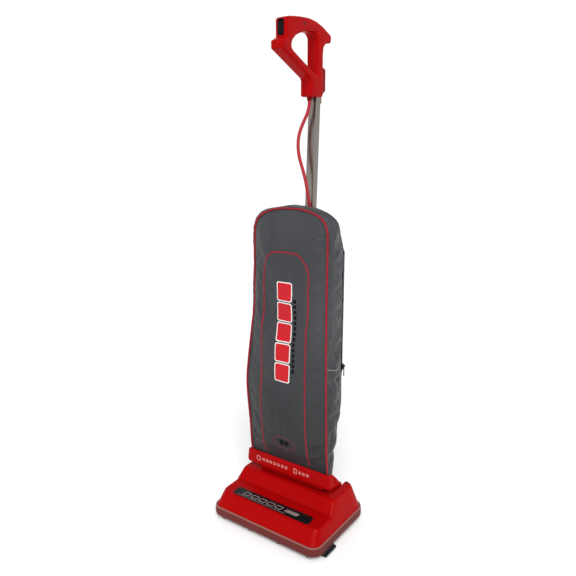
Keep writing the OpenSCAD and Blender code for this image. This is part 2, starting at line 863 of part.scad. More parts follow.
// Puts +X out of the handle at each screw: one head is on the right, the rest on the left
module handle_screw_places() {
    translate([0, front + 154, handle_top - 15]) children();
    for (p = [[98, -62], [225, -30], [195, -117], [223, -88]]) {
        translate([0, front + p[0], handle_top + p[1]]) mirror([1, 0, 0]) children();
    }
}

module handle_screws() {
    color("silver") handle_screw_places() translate([handle_w / 2 - 2.4, 0, 0]) rotate([0, 90, 0])
        difference() {
            union() {
                cylinder(h = 1.8, r = 3.2, $fn = 24);
                translate([0, 0, -16]) cylinder(h = 16.5, r = 1.5, $fn = 24);
            }
            translate([0, 0, 1.6]) cube([4, 0.8, 1.2], center = true);
            translate([0, 0, 1.6]) cube([0.8, 4, 1.2], center = true);
        }
}

module switch_bezel() {
    color("black") difference() {
        box([-8, front + 87.8, handle_top - 47], [8, front + 89, handle_top - 15]);
        box([-6.4, front + 80, handle_top - 45.4], [6.4, front + 95, handle_top - 16.6]);
    }
}

module switch_body() {
    color("dimgray") difference() {
        box([-7, front + 96, handle_top - 45.8], [7, front + 111, handle_top - 16.2]);
        box([-6.4, front + 95, handle_top - 45], [6.4, front + 104, handle_top - 17]);
        along_x(-8, 8, 1.5 + run, front + 99, handle_top - 31);
    }
}

module switch_rocker() {
    // Two-way rocker with a shallow V for its face, so one end always stands out
    color("black") along_x(-6.9, 6.9, 1.5, front + 99, handle_top - 31);
    color("black") translate([0, front + 99, handle_top - 31]) rotate([rocker_swing / 2, 0, 0])
        side_extrude(-6.1, 6.1) polygon([
            [-13, 12.4], [-11, 0], [-13, -12.4], [-4, -12.6], [3, -3], [3, 3], [-4, 12.6]]);
}

module cord_inlet() {
    // Strain relief housing on the back of the handle, with the mains cord's entry below
    y0 = front + 235;
    color("maroon") difference() {
        side_extrude(-11, 11) polygon([
            [y0 + 0.1, handle_top - 96], [y0 + 12, handle_top - 96], [y0 + 18, handle_top - 100],
            [y0 + 18, handle_top - 147], [y0 + 0.1, handle_top - 160]]);
        translate([0, y0 + 9, handle_top - 170]) cylinder(h = 50, r = 4.2);
    }
}

module lead_gland() {
    // Tapered strain relief under the front of the handle's socket
    color("firebrick") translate([0, lead_y, handle_top - 172]) difference() {
        union() {
            cylinder(h = 12, r1 = 5.4, r2 = 6.9);
            translate([0, 0, 12]) cylinder(h = 20, r = 6.9);
        }
        translate([0, 0, -1]) cylinder(h = 60, r = lead_d / 2);
    }
}

// Route of the lead from the gland down to the grommet in the tube
lead_path = [[0, 65, 1042], [0, 65, 1024], [-4, 62, 1004], [-11, 58, 986], [-17, 54, 968],
    [-20, 51, 951], [-20, 49, 934], [-18, 48, 917], [-14, 48, 900], [-9, 49, 884],
    [-4, 50, 868], [0, 52, 850], [3, 54, 830], [5, 57, 810], [6, 60.5, 792], [6, 64, 777]];

function unit(v) = v / norm(v);
function path_dir(p, k) = unit(p[min(k + 1, len(p) - 1)] - p[max(k - 1, 0)]);
// Ring of n points round the path at point k, starting from the side that faces +X
function path_ring(p, k, r, n) = let (
    t = path_dir(p, k),
    u = unit(cross([0, 1, 0], t)),
    v = cross(t, u)
) [for (j = [0:n - 1]) p[k] + r * (cos(360 * j / n) * u + sin(360 * j / n) * v)];

// Point on a Catmull-Rom curve between p[k] and p[k + 1]
function spline_point(p, k, t) = let (
    a = p[max(k - 1, 0)],
    b = p[k],
    c = p[k + 1],
    d = p[min(k + 2, len(p) - 1)]
) 0.5 * (2 * b + (c - a) * t + (2 * a - 5 * b + 4 * c - d) * t * t
    + (3 * b - a - 3 * c + d) * t * t * t);

module sweep(p, r, n) {
    rings = [for (k = [0:len(p) - 1]) each path_ring(p, k, r, n)];
    m = len(p);
    sides = [for (k = [0:m - 2], j = [0:n - 1])
        [k * n + j, k * n + (j + 1) % n, (k + 1) * n + (j + 1) % n, (k + 1) * n + j]];
    polyhedron(rings, concat(sides, [[for (j = [n - 1:-1:0]) j]], [[for (j = [0:n - 1]) (m - 1) * n + j]]));
}

module lead() {
    last = len(lead_path) - 2;
    fine = [for (k = [0:last], t = [0, 0.5]) spline_point(lead_path, k, t), lead_path[last + 1]];
    color("firebrick") sweep(fine, lead_d / 2, 12);
}

// Puts +Z along the lead's last stretch, with the origin at its end
module lead_end() {
    d = unit(lead_path[len(lead_path) - 1] - lead_path[len(lead_path) - 2]);
    translate(lead_path[len(lead_path) - 1]) rotate([atan2(-d[1], d[2]) - 180, 0, 0]) children();
}

module lead_grommet() {
    // Slanting rubber sleeve where the lead goes into the tube
    color("black") difference() {
        lead_end() translate([0, 0, -12]) cylinder(h = 20, r = 6.2);
        lead_end() translate([0, 0, -40]) cylinder(h = 80, r = lead_d / 2 + 0.1);
        leaned() translate([-30, -tube_d / 2, 600]) cube([60, 60, 300]);
    }
}

module lower_cord_hook() {
    // Swivelling hook on the back of the tube that the mains cord is wound round
    color("black") translate([0, tube_y(hook_z) + tube_d / 2 + 0.3, hook_z])
        rotate([-tube_lean, 0, 0]) {
            rotate([-90, 0, 0]) cylinder(h = 8, r = 9);
            translate([-9, 0, -34]) cube([18, 6, 34]);
            translate([-9, 5, -34]) cube([18, 27, 6]);
            translate([-9, 26, -48]) cube([18, 6, 15]);
        }
}

hood();
label_plate();
hood_screws();
bumper();
chassis();
base_plate();
base_latch_left();
base_latch_right();
side_brush_holders();
side_brush_bristles();
motor_casing();
motor_stator();
motor_end_caps();
motor_bearings();
carbon_brushes();
motor_cover();
fan_housing();
intake_duct();
drive_belt();
roll_bearing_blocks();
trunnion_pin();
detent_spring();
wheel_axles();
motor_shaft();
armature();
fan_impeller();
drive_pulley();
brush_roll_core();
brush_roll_bristles();
wheel_left();
wheel_right();
tyre_left();
tyre_right();
yoke();
handle_tube();
tube_screws();
bag_bar();
bar_screws();
fill_tube();
bag_dock();
inner_bag();
inner_bag_collar();
outer_bag();
bag_piping();
bag_zip();
zip_slider();
zip_pull();
bag_hanger();
hanger_spring();
handle_left();
handle_right();
handle_screws();
switch_bezel();
switch_body();
switch_rocker();
cord_inlet();
lead_gland();
lead_grommet();
lead();
lower_cord_hook();
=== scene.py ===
# Upright vacuum cleaner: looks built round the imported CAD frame. Metres, X across, -Y front, +Z up.
import math
import random
from contextlib import contextmanager

import bmesh
import bpy
from mathutils import Matrix, Vector, noise
from mathutils.bvhtree import BVHTree
from mathutils.kdtree import KDTree


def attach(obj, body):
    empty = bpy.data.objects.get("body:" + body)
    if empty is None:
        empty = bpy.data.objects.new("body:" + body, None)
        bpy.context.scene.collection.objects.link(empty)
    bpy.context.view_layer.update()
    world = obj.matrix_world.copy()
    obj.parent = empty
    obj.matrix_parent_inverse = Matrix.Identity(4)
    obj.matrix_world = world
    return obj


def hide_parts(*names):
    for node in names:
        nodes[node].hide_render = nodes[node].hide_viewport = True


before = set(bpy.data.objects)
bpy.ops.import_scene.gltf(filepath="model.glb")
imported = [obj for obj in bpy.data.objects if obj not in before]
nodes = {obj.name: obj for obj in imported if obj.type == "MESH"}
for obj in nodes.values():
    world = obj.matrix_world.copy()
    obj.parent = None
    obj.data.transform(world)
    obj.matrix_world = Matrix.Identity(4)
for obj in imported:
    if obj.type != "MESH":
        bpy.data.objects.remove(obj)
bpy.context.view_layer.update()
scene = bpy.context.scene
MM = 0.001
HEAD, HANDLE = "floor_head", "handle_assembly"
TUBE_LEAN = 2.85  # Degrees that the tube leans back at rest
BOX_FACES = ((0, 1, 3, 2), (4, 6, 7, 5), (0, 4, 5, 1), (2, 3, 7, 6), (0, 2, 6, 4), (1, 5, 7, 3))

# ---- Camera ----
cam_data = bpy.data.cameras.new("camera")
cam_data.lens = 36.13
cam_data.sensor_width = 36.0
cam = bpy.data.objects.new("camera", cam_data)
cam.location = (0.7721, -1.1024, 0.9071)
cam.rotation_euler = (math.radians(77.2), 0, math.radians(35.5))
scene.collection.objects.link(cam)
scene.camera = cam


# ---- Helpers ----
def smoothstep(t):
    t = min(1.0, max(0.0, t))
    return t * t * (3 - 2 * t)


def catmull(points, per=6):
    """Points of a Catmull-Rom curve through the given ones."""
    p = [Vector(q) for q in points]
    out = []
    for k in range(len(p) - 1):
        a, b, c, d = p[max(k - 1, 0)], p[k], p[k + 1], p[min(k + 2, len(p) - 1)]
        for j in range(per):
            t = j / per
            out.append(0.5 * (2 * b + (c - a) * t + (2 * a - 5 * b + 4 * c - d) * t * t
                              + (3 * b - a - 3 * c + d) * t ** 3))
    out.append(p[-1])
    return out


def resample(points, step):
    """The same line with its points evenly spaced."""
    total = sum((b - a).length for a, b in zip(points, points[1:]))
    n = max(2, round(total / step))
    out, k, gone = [points[0].copy()], 0, 0.0
    for i in range(1, n):
        want = total * i / n
        while gone + (points[k + 1] - points[k]).length < want:
            gone += (points[k + 1] - points[k]).length
            k += 1
        a, b = points[k], points[k + 1]
        out.append(a.lerp(b, (want - gone) / (b - a).length))
    out.append(points[-1].copy())
    return out


def table(rows, z):
    """Smoothly interpolated row of a table whose first column is z."""
    if z <= rows[0][0]:
        return rows[0][1:]
    for k in range(len(rows) - 1):
        a, b = rows[k], rows[k + 1]
        if z <= b[0]:
            p, q = rows[max(k - 1, 0)], rows[min(k + 2, len(rows) - 1)]
            h = b[0] - a[0]
            t = (z - a[0]) / h
            out = []
            for i in range(1, len(a)):
                ma = (b[i] - p[i]) / (b[0] - p[0]) * h
                mb = (q[i] - a[i]) / (q[0] - a[0]) * h
                if (b[i] - a[i]) * (a[i] - p[i]) <= 0:
                    ma = 0
                if (q[i] - b[i]) * (b[i] - a[i]) <= 0:
                    mb = 0
                out.append((2 * t ** 3 - 3 * t * t + 1) * a[i] + (t ** 3 - 2 * t * t + t) * ma
                           + (3 * t * t - 2 * t ** 3) * b[i] + (t ** 3 - t * t) * mb)
            return out
    return rows[-1][1:]


def fillet(corners, n=6):
    """Closed outline with its corners (a, b, radius) rounded."""
    out, m = [], len(corners)
    for k in range(m):
        p, r = Vector(corners[k][:2]), corners[k][2]
        u = (Vector(corners[k - 1][:2]) - p)
        v = (Vector(corners[(k + 1) % m][:2]) - p)
        if r <= 0:
            out.append(p)
            continue
        half = u.angle(v) / 2
        d = min(r / math.tan(half), 0.49 * u.length, 0.49 * v.length)
        r = d * math.tan(half)
        u.normalize(), v.normalize()
        c = p + (u + v).normalized() * (r / math.sin(half))
        a, b = (p + u * d) - c, (p + v * d) - c
        turn = a.angle_signed(b)
        for j in range(n + 1):
            t = -turn * j / n
            out.append(c + Vector((a.x * math.cos(t) - a.y * math.sin(t),
                                   a.x * math.sin(t) + a.y * math.cos(t))))
    return out


def rect(cx, cy, hx, hy, r, n=6, skew=0.0):
    """Rounded rectangle round a centre, with half sides hx and hy and its top pushed along by skew."""
    return fillet([(cx - hx - skew, cy - hy, r), (cx + hx - skew, cy - hy, r),
                   (cx + hx + skew, cy + hy, r), (cx - hx + skew, cy + hy, r)], n)


def quads(rows, cols, start=0, closed=True, loop=False):
    """Faces between rows of points. closed joins each row's ends, and loop the last row to the first."""
    out = []
    for k in range(rows if loop else rows - 1):
        a, b = start + k * cols, start + (k + 1) % rows * cols
        for j in range(cols if closed else cols - 1):
            i = (j + 1) % cols
            out.append((a + j, a + i, b + i, b + j))
    return out


def caps(rows, cols):
    return [tuple(reversed(range(cols))), tuple(range((rows - 1) * cols, rows * cols))]


def rounded_rect(hx, y0, y1, rf, rb, n=10):
    """Plan outline of a rounded rectangle with its own front and rear corner radii."""
    pts = []
    for cx, cy, r, a0 in ((hx - rf, y0 + rf, rf, -90), (hx - rb, y1 - rb, rb, 0),
                          (-hx + rb, y1 - rb, rb, 90), (-hx + rf, y0 + rf, rf, 180)):
        for j in range(n + 1):
            a = math.radians(a0 + 90 * j / n)
            pts.append((cx + r * math.cos(a), cy + r * math.sin(a)))
    return pts


def add_object(name, data):
    obj = bpy.data.objects.new(name, data)
    scene.collection.objects.link(obj)
    return obj


@contextmanager
def edited(obj):
    """An object's mesh as a BMesh, which is written back at the end."""
    bm = bmesh.new()
    bm.from_mesh(obj.data)
    yield bm
    bm.to_mesh(obj.data)
    bm.free()


def apply_all(obj):
    """Bakes an object's modifiers, or a curve's bevel, into a plain mesh."""
    graph = bpy.context.evaluated_depsgraph_get()
    data = bpy.data.meshes.new_from_object(obj.evaluated_get(graph), depsgraph=graph)
    if obj.type == "MESH":
        obj.modifiers.clear()
        obj.data = data
        return obj
    name = obj.name
    new = add_object(name, data)
    new.matrix_world = obj.matrix_world
    bpy.data.objects.remove(obj)
    new.name = name
    return new


def shade(obj, angle=35):
    obj.data.polygons.foreach_set("use_smooth", [True] * len(obj.data.polygons))
    obj.data.set_sharp_from_angle(angle=math.radians(angle))
    obj.data.update()


def mesh_object(name, verts, faces, scale=MM):
    data = bpy.data.meshes.new(name)
    data.from_pydata([Vector(v) * scale for v in verts], [], faces)
    data.validate()
    data.update()
    return add_object(name, data)


def fix_normals(obj):
    with edited(obj) as bm:
        bmesh.ops.recalc_face_normals(bm, faces=bm.faces)


def place(obj, mat, body, replaced=(), angle=35):
    """Gives a finished piece its material, shading and body."""
    obj.data.materials.clear()
    obj.data.materials.append(mat)
    if obj.type == "MESH":
        shade(obj, angle)
    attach(obj, body)
    if replaced:
        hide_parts(*replaced)
    return obj


def modify(obj, kind, **values):
    m = obj.modifiers.new(kind.lower(), kind)
    for k, v in values.items():
        setattr(m, k, v)
    return m


def join(objs, name):
    """One mesh object from several."""
    bm = bmesh.new()
    for o in objs:
        bm.from_mesh(o.data)
    data = bpy.data.meshes.new(name)
    bm.to_mesh(data)
    bm.free()
    for o in objs:
        bpy.data.objects.remove(o)
    return add_object(name, data)


def block(name, lo, hi, r, seg=3):
    """Box with rounded edges."""
    (x0, y0, z0), (x1, y1, z1) = lo, hi
    v = [(x, y, z) for x in (x0, x1) for y in (y0, y1) for z in (z0, z1)]
    o = mesh_object(name, v, BOX_FACES)
    modify(o, "BEVEL", width=r * MM, segments=seg)
    return apply_all(o)


def moulded(name, outlines, a0, a1, r, plane="side", seg=4):
    """Filled outline (the first is outer, the rest are holes) extruded from a0 to a1 with its rims
    rounded to radius r. plane says what the outline's two numbers are: side (y, z), front (x, z)
    or top (x, y)."""
    cu = bpy.data.curves.new(name, "CURVE")
    cu.dimensions = "2D"
    cu.fill_mode = "BOTH"
    cu.extrude = (abs(a1 - a0) / 2 - r) * MM
    cu.bevel_depth = r * MM
    cu.bevel_resolution = seg
    cu.offset = -r * MM
    for k, pts in enumerate(outlines):
        area = sum(a[0] * b[1] - b[0] * a[1] for a, b in zip(pts, list(pts[1:]) + [pts[0]]))
        if (area > 0) == (k > 0):
            pts = list(reversed(pts))
        sp = cu.splines.new("POLY")
        sp.points.add(len(pts) - 1)
        for q, p in zip(sp.points, pts):
            q.co = (p[0] * MM, p[1] * MM, 0, 1)
        sp.use_cyclic_u = True
    o = apply_all(add_object(name, cu))
    mid = (a0 + a1) / 2 * MM
    if plane == "side":
        m = Matrix(((0, 0, 1, mid), (1, 0, 0, 0), (0, 1, 0, 0), (0, 0, 0, 1)))
    elif plane == "front":
        m = Matrix(((1, 0, 0, 0), (0, 0, -1, mid), (0, 1, 0, 0), (0, 0, 0, 1)))
    else:
        m = Matrix(((1, 0, 0, 0), (0, 1, 0, 0), (0, 0, 1, mid), (0, 0, 0, 1)))
    with edited(o) as bm:
        bmesh.ops.remove_doubles(bm, verts=bm.verts, dist=1e-6)
        bmesh.ops.transform(bm, matrix=m, verts=bm.verts)
        bmesh.ops.recalc_face_normals(bm, faces=bm.faces)
    return o


def rod(name, points, radius, sides=12, radii=None):
    """Round tube along points in millimetres."""
    p = [Vector(q) for q in points]
    verts, u = [], None
    for k, c in enumerate(p):
        t = (p[min(k + 1, len(p) - 1)] - p[max(k - 1, 0)]).normalized()
        if u is None:
            u = t.orthogonal().normalized()
        u = (u - t * u.dot(t)).normalized()
        w = t.cross(u)
        r = radii[k] if radii else radius
        for j in range(sides):
            a = 2 * math.pi * j / sides
            verts.append(c + (u * math.cos(a) + w * math.sin(a)) * r)
    return mesh_object(name, verts, quads(len(p), sides) + caps(len(p), sides))


def cut(obj, tool):
    """Boolean difference that uses the tool up."""
    modify(obj, "BOOLEAN", operation="DIFFERENCE", object=tool, solver="EXACT")
    apply_all(obj)
    bpy.data.objects.remove(tool)
    return obj


def softened(node, width, seg=2, angle=35):
    """Copy of a CAD node with its edges eased, for a piece whose shape is right but too sharp."""
    o = add_object(node + "_look", nodes[node].data.copy())
    with edited(o) as bm:
        bmesh.ops.remove_doubles(bm, verts=bm.verts, dist=1e-6)
        bmesh.ops.dissolve_limit(bm, angle_limit=math.radians(2), verts=bm.verts, edges=bm.edges)
    modify(o, "BEVEL", width=width * MM, segments=seg, limit_method="ANGLE",
           angle_limit=math.radians(angle), use_clamp_overlap=True, miter_outer="MITER_ARC")
    return apply_all(o)


# ---- Materials ----
class Look:
    """Small node-tree builder round one Principled shader, in object coordinates (metres)."""

    def __init__(self, name, color, rough, **sockets):
        self.mat = bpy.data.materials.new(name)
        self.mat.use_nodes = True
        self.t = self.mat.node_tree
        self.bsdf = self.t.nodes["Principled BSDF"]
        self.bsdf.inputs["Base Color"].default_value = (*color, 1)
        self.bsdf.inputs["Roughness"].default_value = rough
        for k, v in sockets.items():
            self.bsdf.inputs[k.replace("_", " ")].default_value = v
        self.coord = self.t.nodes.new("ShaderNodeTexCoord")
        self.color = (*color, 1)
        self.last_bump = None

    def node(self, kind, **values):
        n = self.t.nodes.new("ShaderNode" + kind)
        for k, v in values.items():
            if k in n.inputs:
                n.inputs[k].default_value = v
            else:
                setattr(n, k, v)
        return n

    def link(self, a, b):
        self.t.links.new(a, b)

    def mapped(self, scale):
        m = self.node("Mapping")
        m.inputs["Scale"].default_value = scale
        self.link(self.coord.outputs["Object"], m.inputs["Vector"])
        return m.outputs["Vector"]

    def noise(self, scale, detail=3.0, stretch=(1, 1, 1), rough=0.5):
        n = self.node("TexNoise", Scale=scale, Detail=detail, Roughness=rough)
        self.link(self.mapped(stretch), n.inputs["Vector"])
        return n.outputs["Fac"]

    def wave(self, scale, direction):
        n = self.node("TexWave", Scale=scale, bands_direction=direction)
        self.link(self.coord.outputs["Object"], n.inputs["Vector"])
        return n.outputs["Fac"]

    def math(self, op, a, b=None):
        n = self.node("Math", operation=op)
        for s, v in zip(n.inputs, (a, b)):
            if v is None:
                continue
            if isinstance(v, (int, float)):
                s.default_value = v
            else:
                self.link(v, s)
        return n.outputs[0]

    def span(self, fac, lo, hi, a=0.3, b=0.7):
        n = self.node("MapRange")
        for k, v in (("From Min", a), ("From Max", b), ("To Min", lo), ("To Max", hi)):
            n.inputs[k].default_value = v
        self.link(fac, n.inputs["Value"])
        return n.outputs["Result"]

    def tint(self, fac, color, amount=1.0):
        """Mixes a colour over what there is, by fac."""
        n = self.node("Mix")
        n.data_type = "RGBA"
        src = self.bsdf.inputs["Base Color"]
        if src.is_linked:
            self.link(src.links[0].from_socket, n.inputs[6])
        else:
            n.inputs[6].default_value = self.color
        n.inputs[7].default_value = (*color, 1)
        f = fac if amount == 1.0 else self.math("MULTIPLY", fac, amount)
        self.link(f, n.inputs[0])
        self.link(n.outputs[2], src)
        return self

    def roughness(self, fac, lo, hi):
        self.link(self.span(fac, lo, hi), self.bsdf.inputs["Roughness"])
        return self

    def bump(self, fac, strength, distance):
        n = self.node("Bump", Strength=strength, Distance=distance)
        self.link(fac, n.inputs["Height"])
        if self.last_bump:
            self.link(self.last_bump, n.inputs["Normal"])
        self.last_bump = n.outputs["Normal"]
        self.link(self.last_bump, self.bsdf.inputs["Normal"])
        return self

    def wear(self, color, amount=0.5):
        """Lighter rubbed edges, from the surface's own pointiness."""
        g = self.node("NewGeometry")
        p = self.span(g.outputs["Pointiness"], 0.0, 1.0, 0.515, 0.56)
        return self.tint(self.math("MULTIPLY", p, self.noise(60)), color, amount)


def plastic(name, color, rough=0.32, dark=0.82, grain=0.15, level=0.2):
    m = Look(name, color, rough)
    m.bsdf.inputs["Specular IOR Level"].default_value = level
    m.tint(m.span(m.noise(9, 4), 0, 1), tuple(c * dark for c in color), 0.5)
    m.roughness(m.noise(38, 4), rough - 0.06, rough + 0.08)
    m.bump(m.noise(900, 2), grain, 0.0002)
    m.bump(m.noise(14, 2), 0.25, 0.0006)
    return m


def metal(name, color, rough, brushed=None):
    m = Look(name, color, rough, Metallic=1.0)
    stretch = brushed or (1, 1, 1)
    m.tint(m.span(m.noise(40, 4, stretch), 0, 1), tuple(c * 0.8 for c in color), 0.5)
    m.roughness(m.noise(120, 3, stretch), rough - 0.05, rough + 0.1)
    m.bump(m.noise(600, 2, stretch), 0.12, 0.0001)
    return m


red = plastic("red_abs", (0.33, 0.0014, 0.0018), 0.25, 0.86, 0.1, 0.035)
red.wear((0.44, 0.015, 0.014), 0.12)
# Painted shade: a darker copy of the red ABS, for the rear housing and lead boot that sit in shade
red_shaded = plastic("red_abs_painted_shade", (0.20, 0.001, 0.002), 0.33, 0.85, 0.1, 0.05)
black = plastic("black_plastic", (0.012, 0.012, 0.013), 0.38, 0.7, 0.3)
black.wear((0.06, 0.06, 0.06), 0.5)
gray_plastic = plastic("gray_plastic", (0.16, 0.165, 0.17), 0.45, 0.8, 0.25)
dark_gray = plastic("dark_gray_plastic", (0.05, 0.052, 0.056), 0.5, 0.75, 0.25)
chassis_mat = plastic("chassis_plastic", (0.035, 0.037, 0.04), 0.5, 0.75, 0.3)
vinyl = plastic("vinyl_bumper", (0.125, 0.022, 0.019), 0.48, 0.7, 0.3, 0.12)
lip_mat = plastic("vinyl_lip", (0.26, 0.10, 0.085), 0.5, 0.8, 0.25, 0.15)
rubber = plastic("black_rubber", (0.015, 0.015, 0.016), 0.62, 0.7, 0.5)
steel = metal("steel", (0.62, 0.61, 0.59), 0.3)
zinc = metal("zinc_screw", (0.55, 0.54, 0.5), 0.34)
tube_metal = metal("satin_tube", (0.24, 0.22, 0.20), 0.24, (1, 1, 0.02))
alloy = metal("cast_alloy", (0.5, 0.5, 0.5), 0.45)
copper = metal("copper_winding", (0.55, 0.22, 0.09), 0.38)
wood = Look("roll_wood", (0.42, 0.24, 0.11), 0.5)
wood.tint(wood.span(wood.noise(30, 5, (0.08, 1, 1)), 0, 1), (0.24, 0.12, 0.05), 0.8)
wood.roughness(wood.noise(80), 0.42, 0.6).bump(wood.noise(160, 4, (0.1, 1, 1)), 0.3, 0.0003)
bristle = plastic("bristle_black", (0.012, 0.012, 0.013), 0.5, 0.6, 0.2)
lead_mat = plastic("lead_pvc", (0.36, 0.022, 0.032), 0.36, 0.8, 0.2)
paper = Look("bag_paper", (0.62, 0.52, 0.38), 0.85)
paper.tint(paper.span(paper.noise(25, 6), 0, 1), (0.5, 0.4, 0.28), 0.6)
paper.bump(paper.noise(220, 4), 0.4, 0.0004)
card = Look("card", (0.45, 0.33, 0.2), 0.8)
card.tint(card.span(card.noise(60, 5, (1, 1, 0.1)), 0, 1), (0.34, 0.24, 0.14), 0.7)
card.bump(card.noise(300, 3), 0.3, 0.0003)


def cloth(name, color, dark, pale, level=0.2, rough=0.6):
    """Coated plain-weave bag cloth: fine crossed threads, mottled colour and soft sheen."""
    m = Look(name, color, rough)
    m.bsdf.inputs["Specular IOR Level"].default_value = level
    m.bsdf.inputs["Sheen Weight"].default_value = 0.03
    m.bsdf.inputs["Sheen Roughness"].default_value = 0.5
    threads = m.math("MAXIMUM", m.math("MAXIMUM", m.wave(140, "X"), m.wave(140, "Y")), m.wave(140, "Z"))
    m.tint(m.span(m.noise(7, 5), 0, 1, 0.35, 0.65), dark, 0.55)
    m.tint(m.span(m.noise(420, 3), 0, 1, 0.4, 0.75), pale, 0.5)
    m.tint(m.span(threads, 0, 1, 0.6, 1.0), pale, 0.18)
    m.roughness(m.noise(300, 3), rough - 0.06, rough + 0.12)
    m.bump(threads, 0.35, 0.00025)
    m.bump(m.noise(500, 3), 0.35, 0.0003)
    m.bump(m.noise(45, 3), 0.4, 0.0012)
    return m


bag_mat = cloth("bag_cloth", (0.028, 0.030, 0.034), (0.018, 0.019, 0.023), (0.056, 0.059, 0.065), 0.22, 0.45)
bag_mat.tint(bag_mat.span(bag_mat.noise(4.2, 2, (1, 1, 0.55)), 0, 1, 0.4, 0.62), (0.075, 0.078, 0.080), 0.4)
# Painted shade: the cloth is darkened towards the bag's foot
bag_low_shade = bag_mat.node("SeparateXYZ")
bag_mat.link(bag_mat.coord.outputs["Object"], bag_low_shade.inputs[0])
bag_mat.tint(bag_mat.span(bag_low_shade.outputs["Z"], 1, 0, 0.14, 0.56), (0.010, 0.0095, 0.011), 0.8)
tape_mat = cloth("zip_tape", (0.018, 0.019, 0.022), (0.01, 0.01, 0.012), (0.04, 0.04, 0.045))
seam_mat = cloth("seam_tape", (0.16, 0.165, 0.17), (0.10, 0.10, 0.105), (0.24, 0.245, 0.25))
pipe_mat = cloth("piping_vinyl", (0.26, 0.004, 0.012), (0.18, 0.003, 0.009), (0.32, 0.010, 0.020))
ink_mat = cloth("printed_red", (0.20, 0.010, 0.021), (0.15, 0.008, 0.016), (0.24, 0.020, 0.032))
ink_faint = cloth("printed_faint_red", (0.11, 0.026, 0.034), (0.08, 0.022, 0.028), (0.14, 0.036, 0.044))
ink_bright = cloth("printed_bright_red", (0.46, 0.004, 0.012), (0.38, 0.004, 0.009), (0.52, 0.012, 0.02))
ink_white = cloth("printed_white", (0.70, 0.66, 0.65), (0.6, 0.57, 0.56), (0.8, 0.78, 0.77))
ink_black = cloth("printed_black", (0.004, 0.004, 0.005), (0.003, 0.003, 0.004), (0.007, 0.007, 0.009), 0.05)
silver_ink = plastic("silver_print", (0.21, 0.165, 0.165), 0.35, 0.8, 0.1)
switch_black = plastic("switch_black", (0.005, 0.005, 0.006), 0.5, 0.7, 0.1, 0.1)
gunmetal = metal("gunmetal", (0.07, 0.07, 0.075), 0.4)
pale_ink = plastic("pale_print", (0.60, 0.30, 0.27), 0.4, 0.85, 0.1)
gloss_black = plastic("gloss_black", (0.006, 0.006, 0.007), 0.12, 0.8, 0.05)

# ---- Lead: one red cord with a slack loop, from the handle's socket to the tube's front ----
LEAD = [(0, 65, 1042), (0, 65, 1024), (-4, 62, 1004), (-11, 58, 986), (-17, 54, 968), (-20, 51, 951),
        (-20, 49, 934), (-18, 48, 917), (-14, 48, 900), (-9, 49, 884), (-4, 50, 868), (0, 52, 850),
        (3, 54, 830), (5, 57, 810), (6, 60.5, 792), (6, 64, 777)]
cu = bpy.data.curves.new("lead", "CURVE")
cu.dimensions = "3D"
cu.bevel_depth = 4.0 * MM
cu.bevel_resolution = 5
sp = cu.splines.new("POLY")
fine = catmull(LEAD, 3)
sp.points.add(len(fine) - 1)
for q, p in zip(sp.points, fine):
    q.co = (*(p * MM), 1)
cu.use_fill_caps = True
sp.use_smooth = True
lead = add_object("red_lead", cu)
cu.materials.append(lead_mat.mat)
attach(lead, "handle_assembly")
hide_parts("lead")

# ---- Floor head ----
FRONT, BACK, BUMPER_HALF = -135.0, 103.0, 160.5


def loft(name, levels, soft, n=12):
    """Solid through rounded rectangles (z_front, z_rear, half width, y0, y1, front radius, rear
    radius), each edge between levels softened over its own distance in soft."""
    rows = [levels[0]]
    for k in range(1, len(levels) - 1):
        a, p, b = levels[k - 1], levels[k], levels[k + 1]
        d = soft[k]

        def toward(q):
            run = max(abs(q[i] - p[i]) for i in range(5))
            f = min(0.48, d / run)
            return tuple(p[i] + (q[i] - p[i]) * f for i in range(7))
        s, e = toward(a), toward(b)
        for j in range(6):
            t = j / 5
            rows.append(tuple((1 - t) ** 2 * s[i] + 2 * t * (1 - t) * p[i] + t * t * e[i]
                              for i in range(7)))
    rows.append(levels[-1])
    verts = []
    for zf, zr, hx, y0, y1, rf, rb in rows:
        for x, y in rounded_rect(hx, y0, y1, rf, rb, n):
            verts.append((x, y, zf + (zr - zf) * (y - y0) / (y1 - y0)))
    m = 4 * (n + 1)
    return mesh_object(name, verts, quads(len(rows), m) + caps(len(rows), m))


low = loft("hood", [
    (12, 12, 156.3, -130.6, 98.6, 25, 34), (34, 34, 156.2, -130.4, 98.4, 25, 34),
    (38.5, 38.5, 154.2, -127.2, 90, 24, 30), (65.2, 72, 147.3, -109.0, 62, 20, 18),
    (66.6, 73.5, 143.5, -104.5, 58, 17, 15), (67.0, 73.6, 130.0, -92, 48, 9, 9)],
    [0, 3, 3, 6.5, 3.5, 0])
high = loft("hood_high", [
    (20, 20, 155.9, -60, 98.3, 6, 34), (34.5, 34.5, 155.8, -58, 98.2, 6, 34),
    (39.5, 39.5, 153.8, -55.5, 95.6, 6, 31), (71, 71, 147.0, -47.5, 83.0, 6, 26),
    (95.6, 95.6, 141.4, -27.5, 71.5, 9, 20), (98.4, 98.4, 137.6, -23.4, 67.6, 8, 18),
    (98.5, 98.5, 120, -8, 52, 5, 9)],
    [0, 4, 3, 1, 4.5, 2.5, 0])
modify(low, "BOOLEAN", operation="UNION", object=high, solver="EXACT")
apply_all(low)
bpy.data.objects.remove(high)
hood = cut(low, block("saddle_cut", (-119, 22, 42), (119, 130, 120), 3))
# Open underside, then the wall's thickness
with edited(hood) as bm:
    under = [f for f in bm.faces if f.calc_center_median().z < 0.0121 and f.normal.z < -0.9]
    bmesh.ops.delete(bm, geom=under, context="FACES")
modify(hood, "SOLIDIFY", thickness=2.4 * MM, offset=-1)
apply_all(hood)
place(hood, red.mat, HEAD, ["hood"], 28)
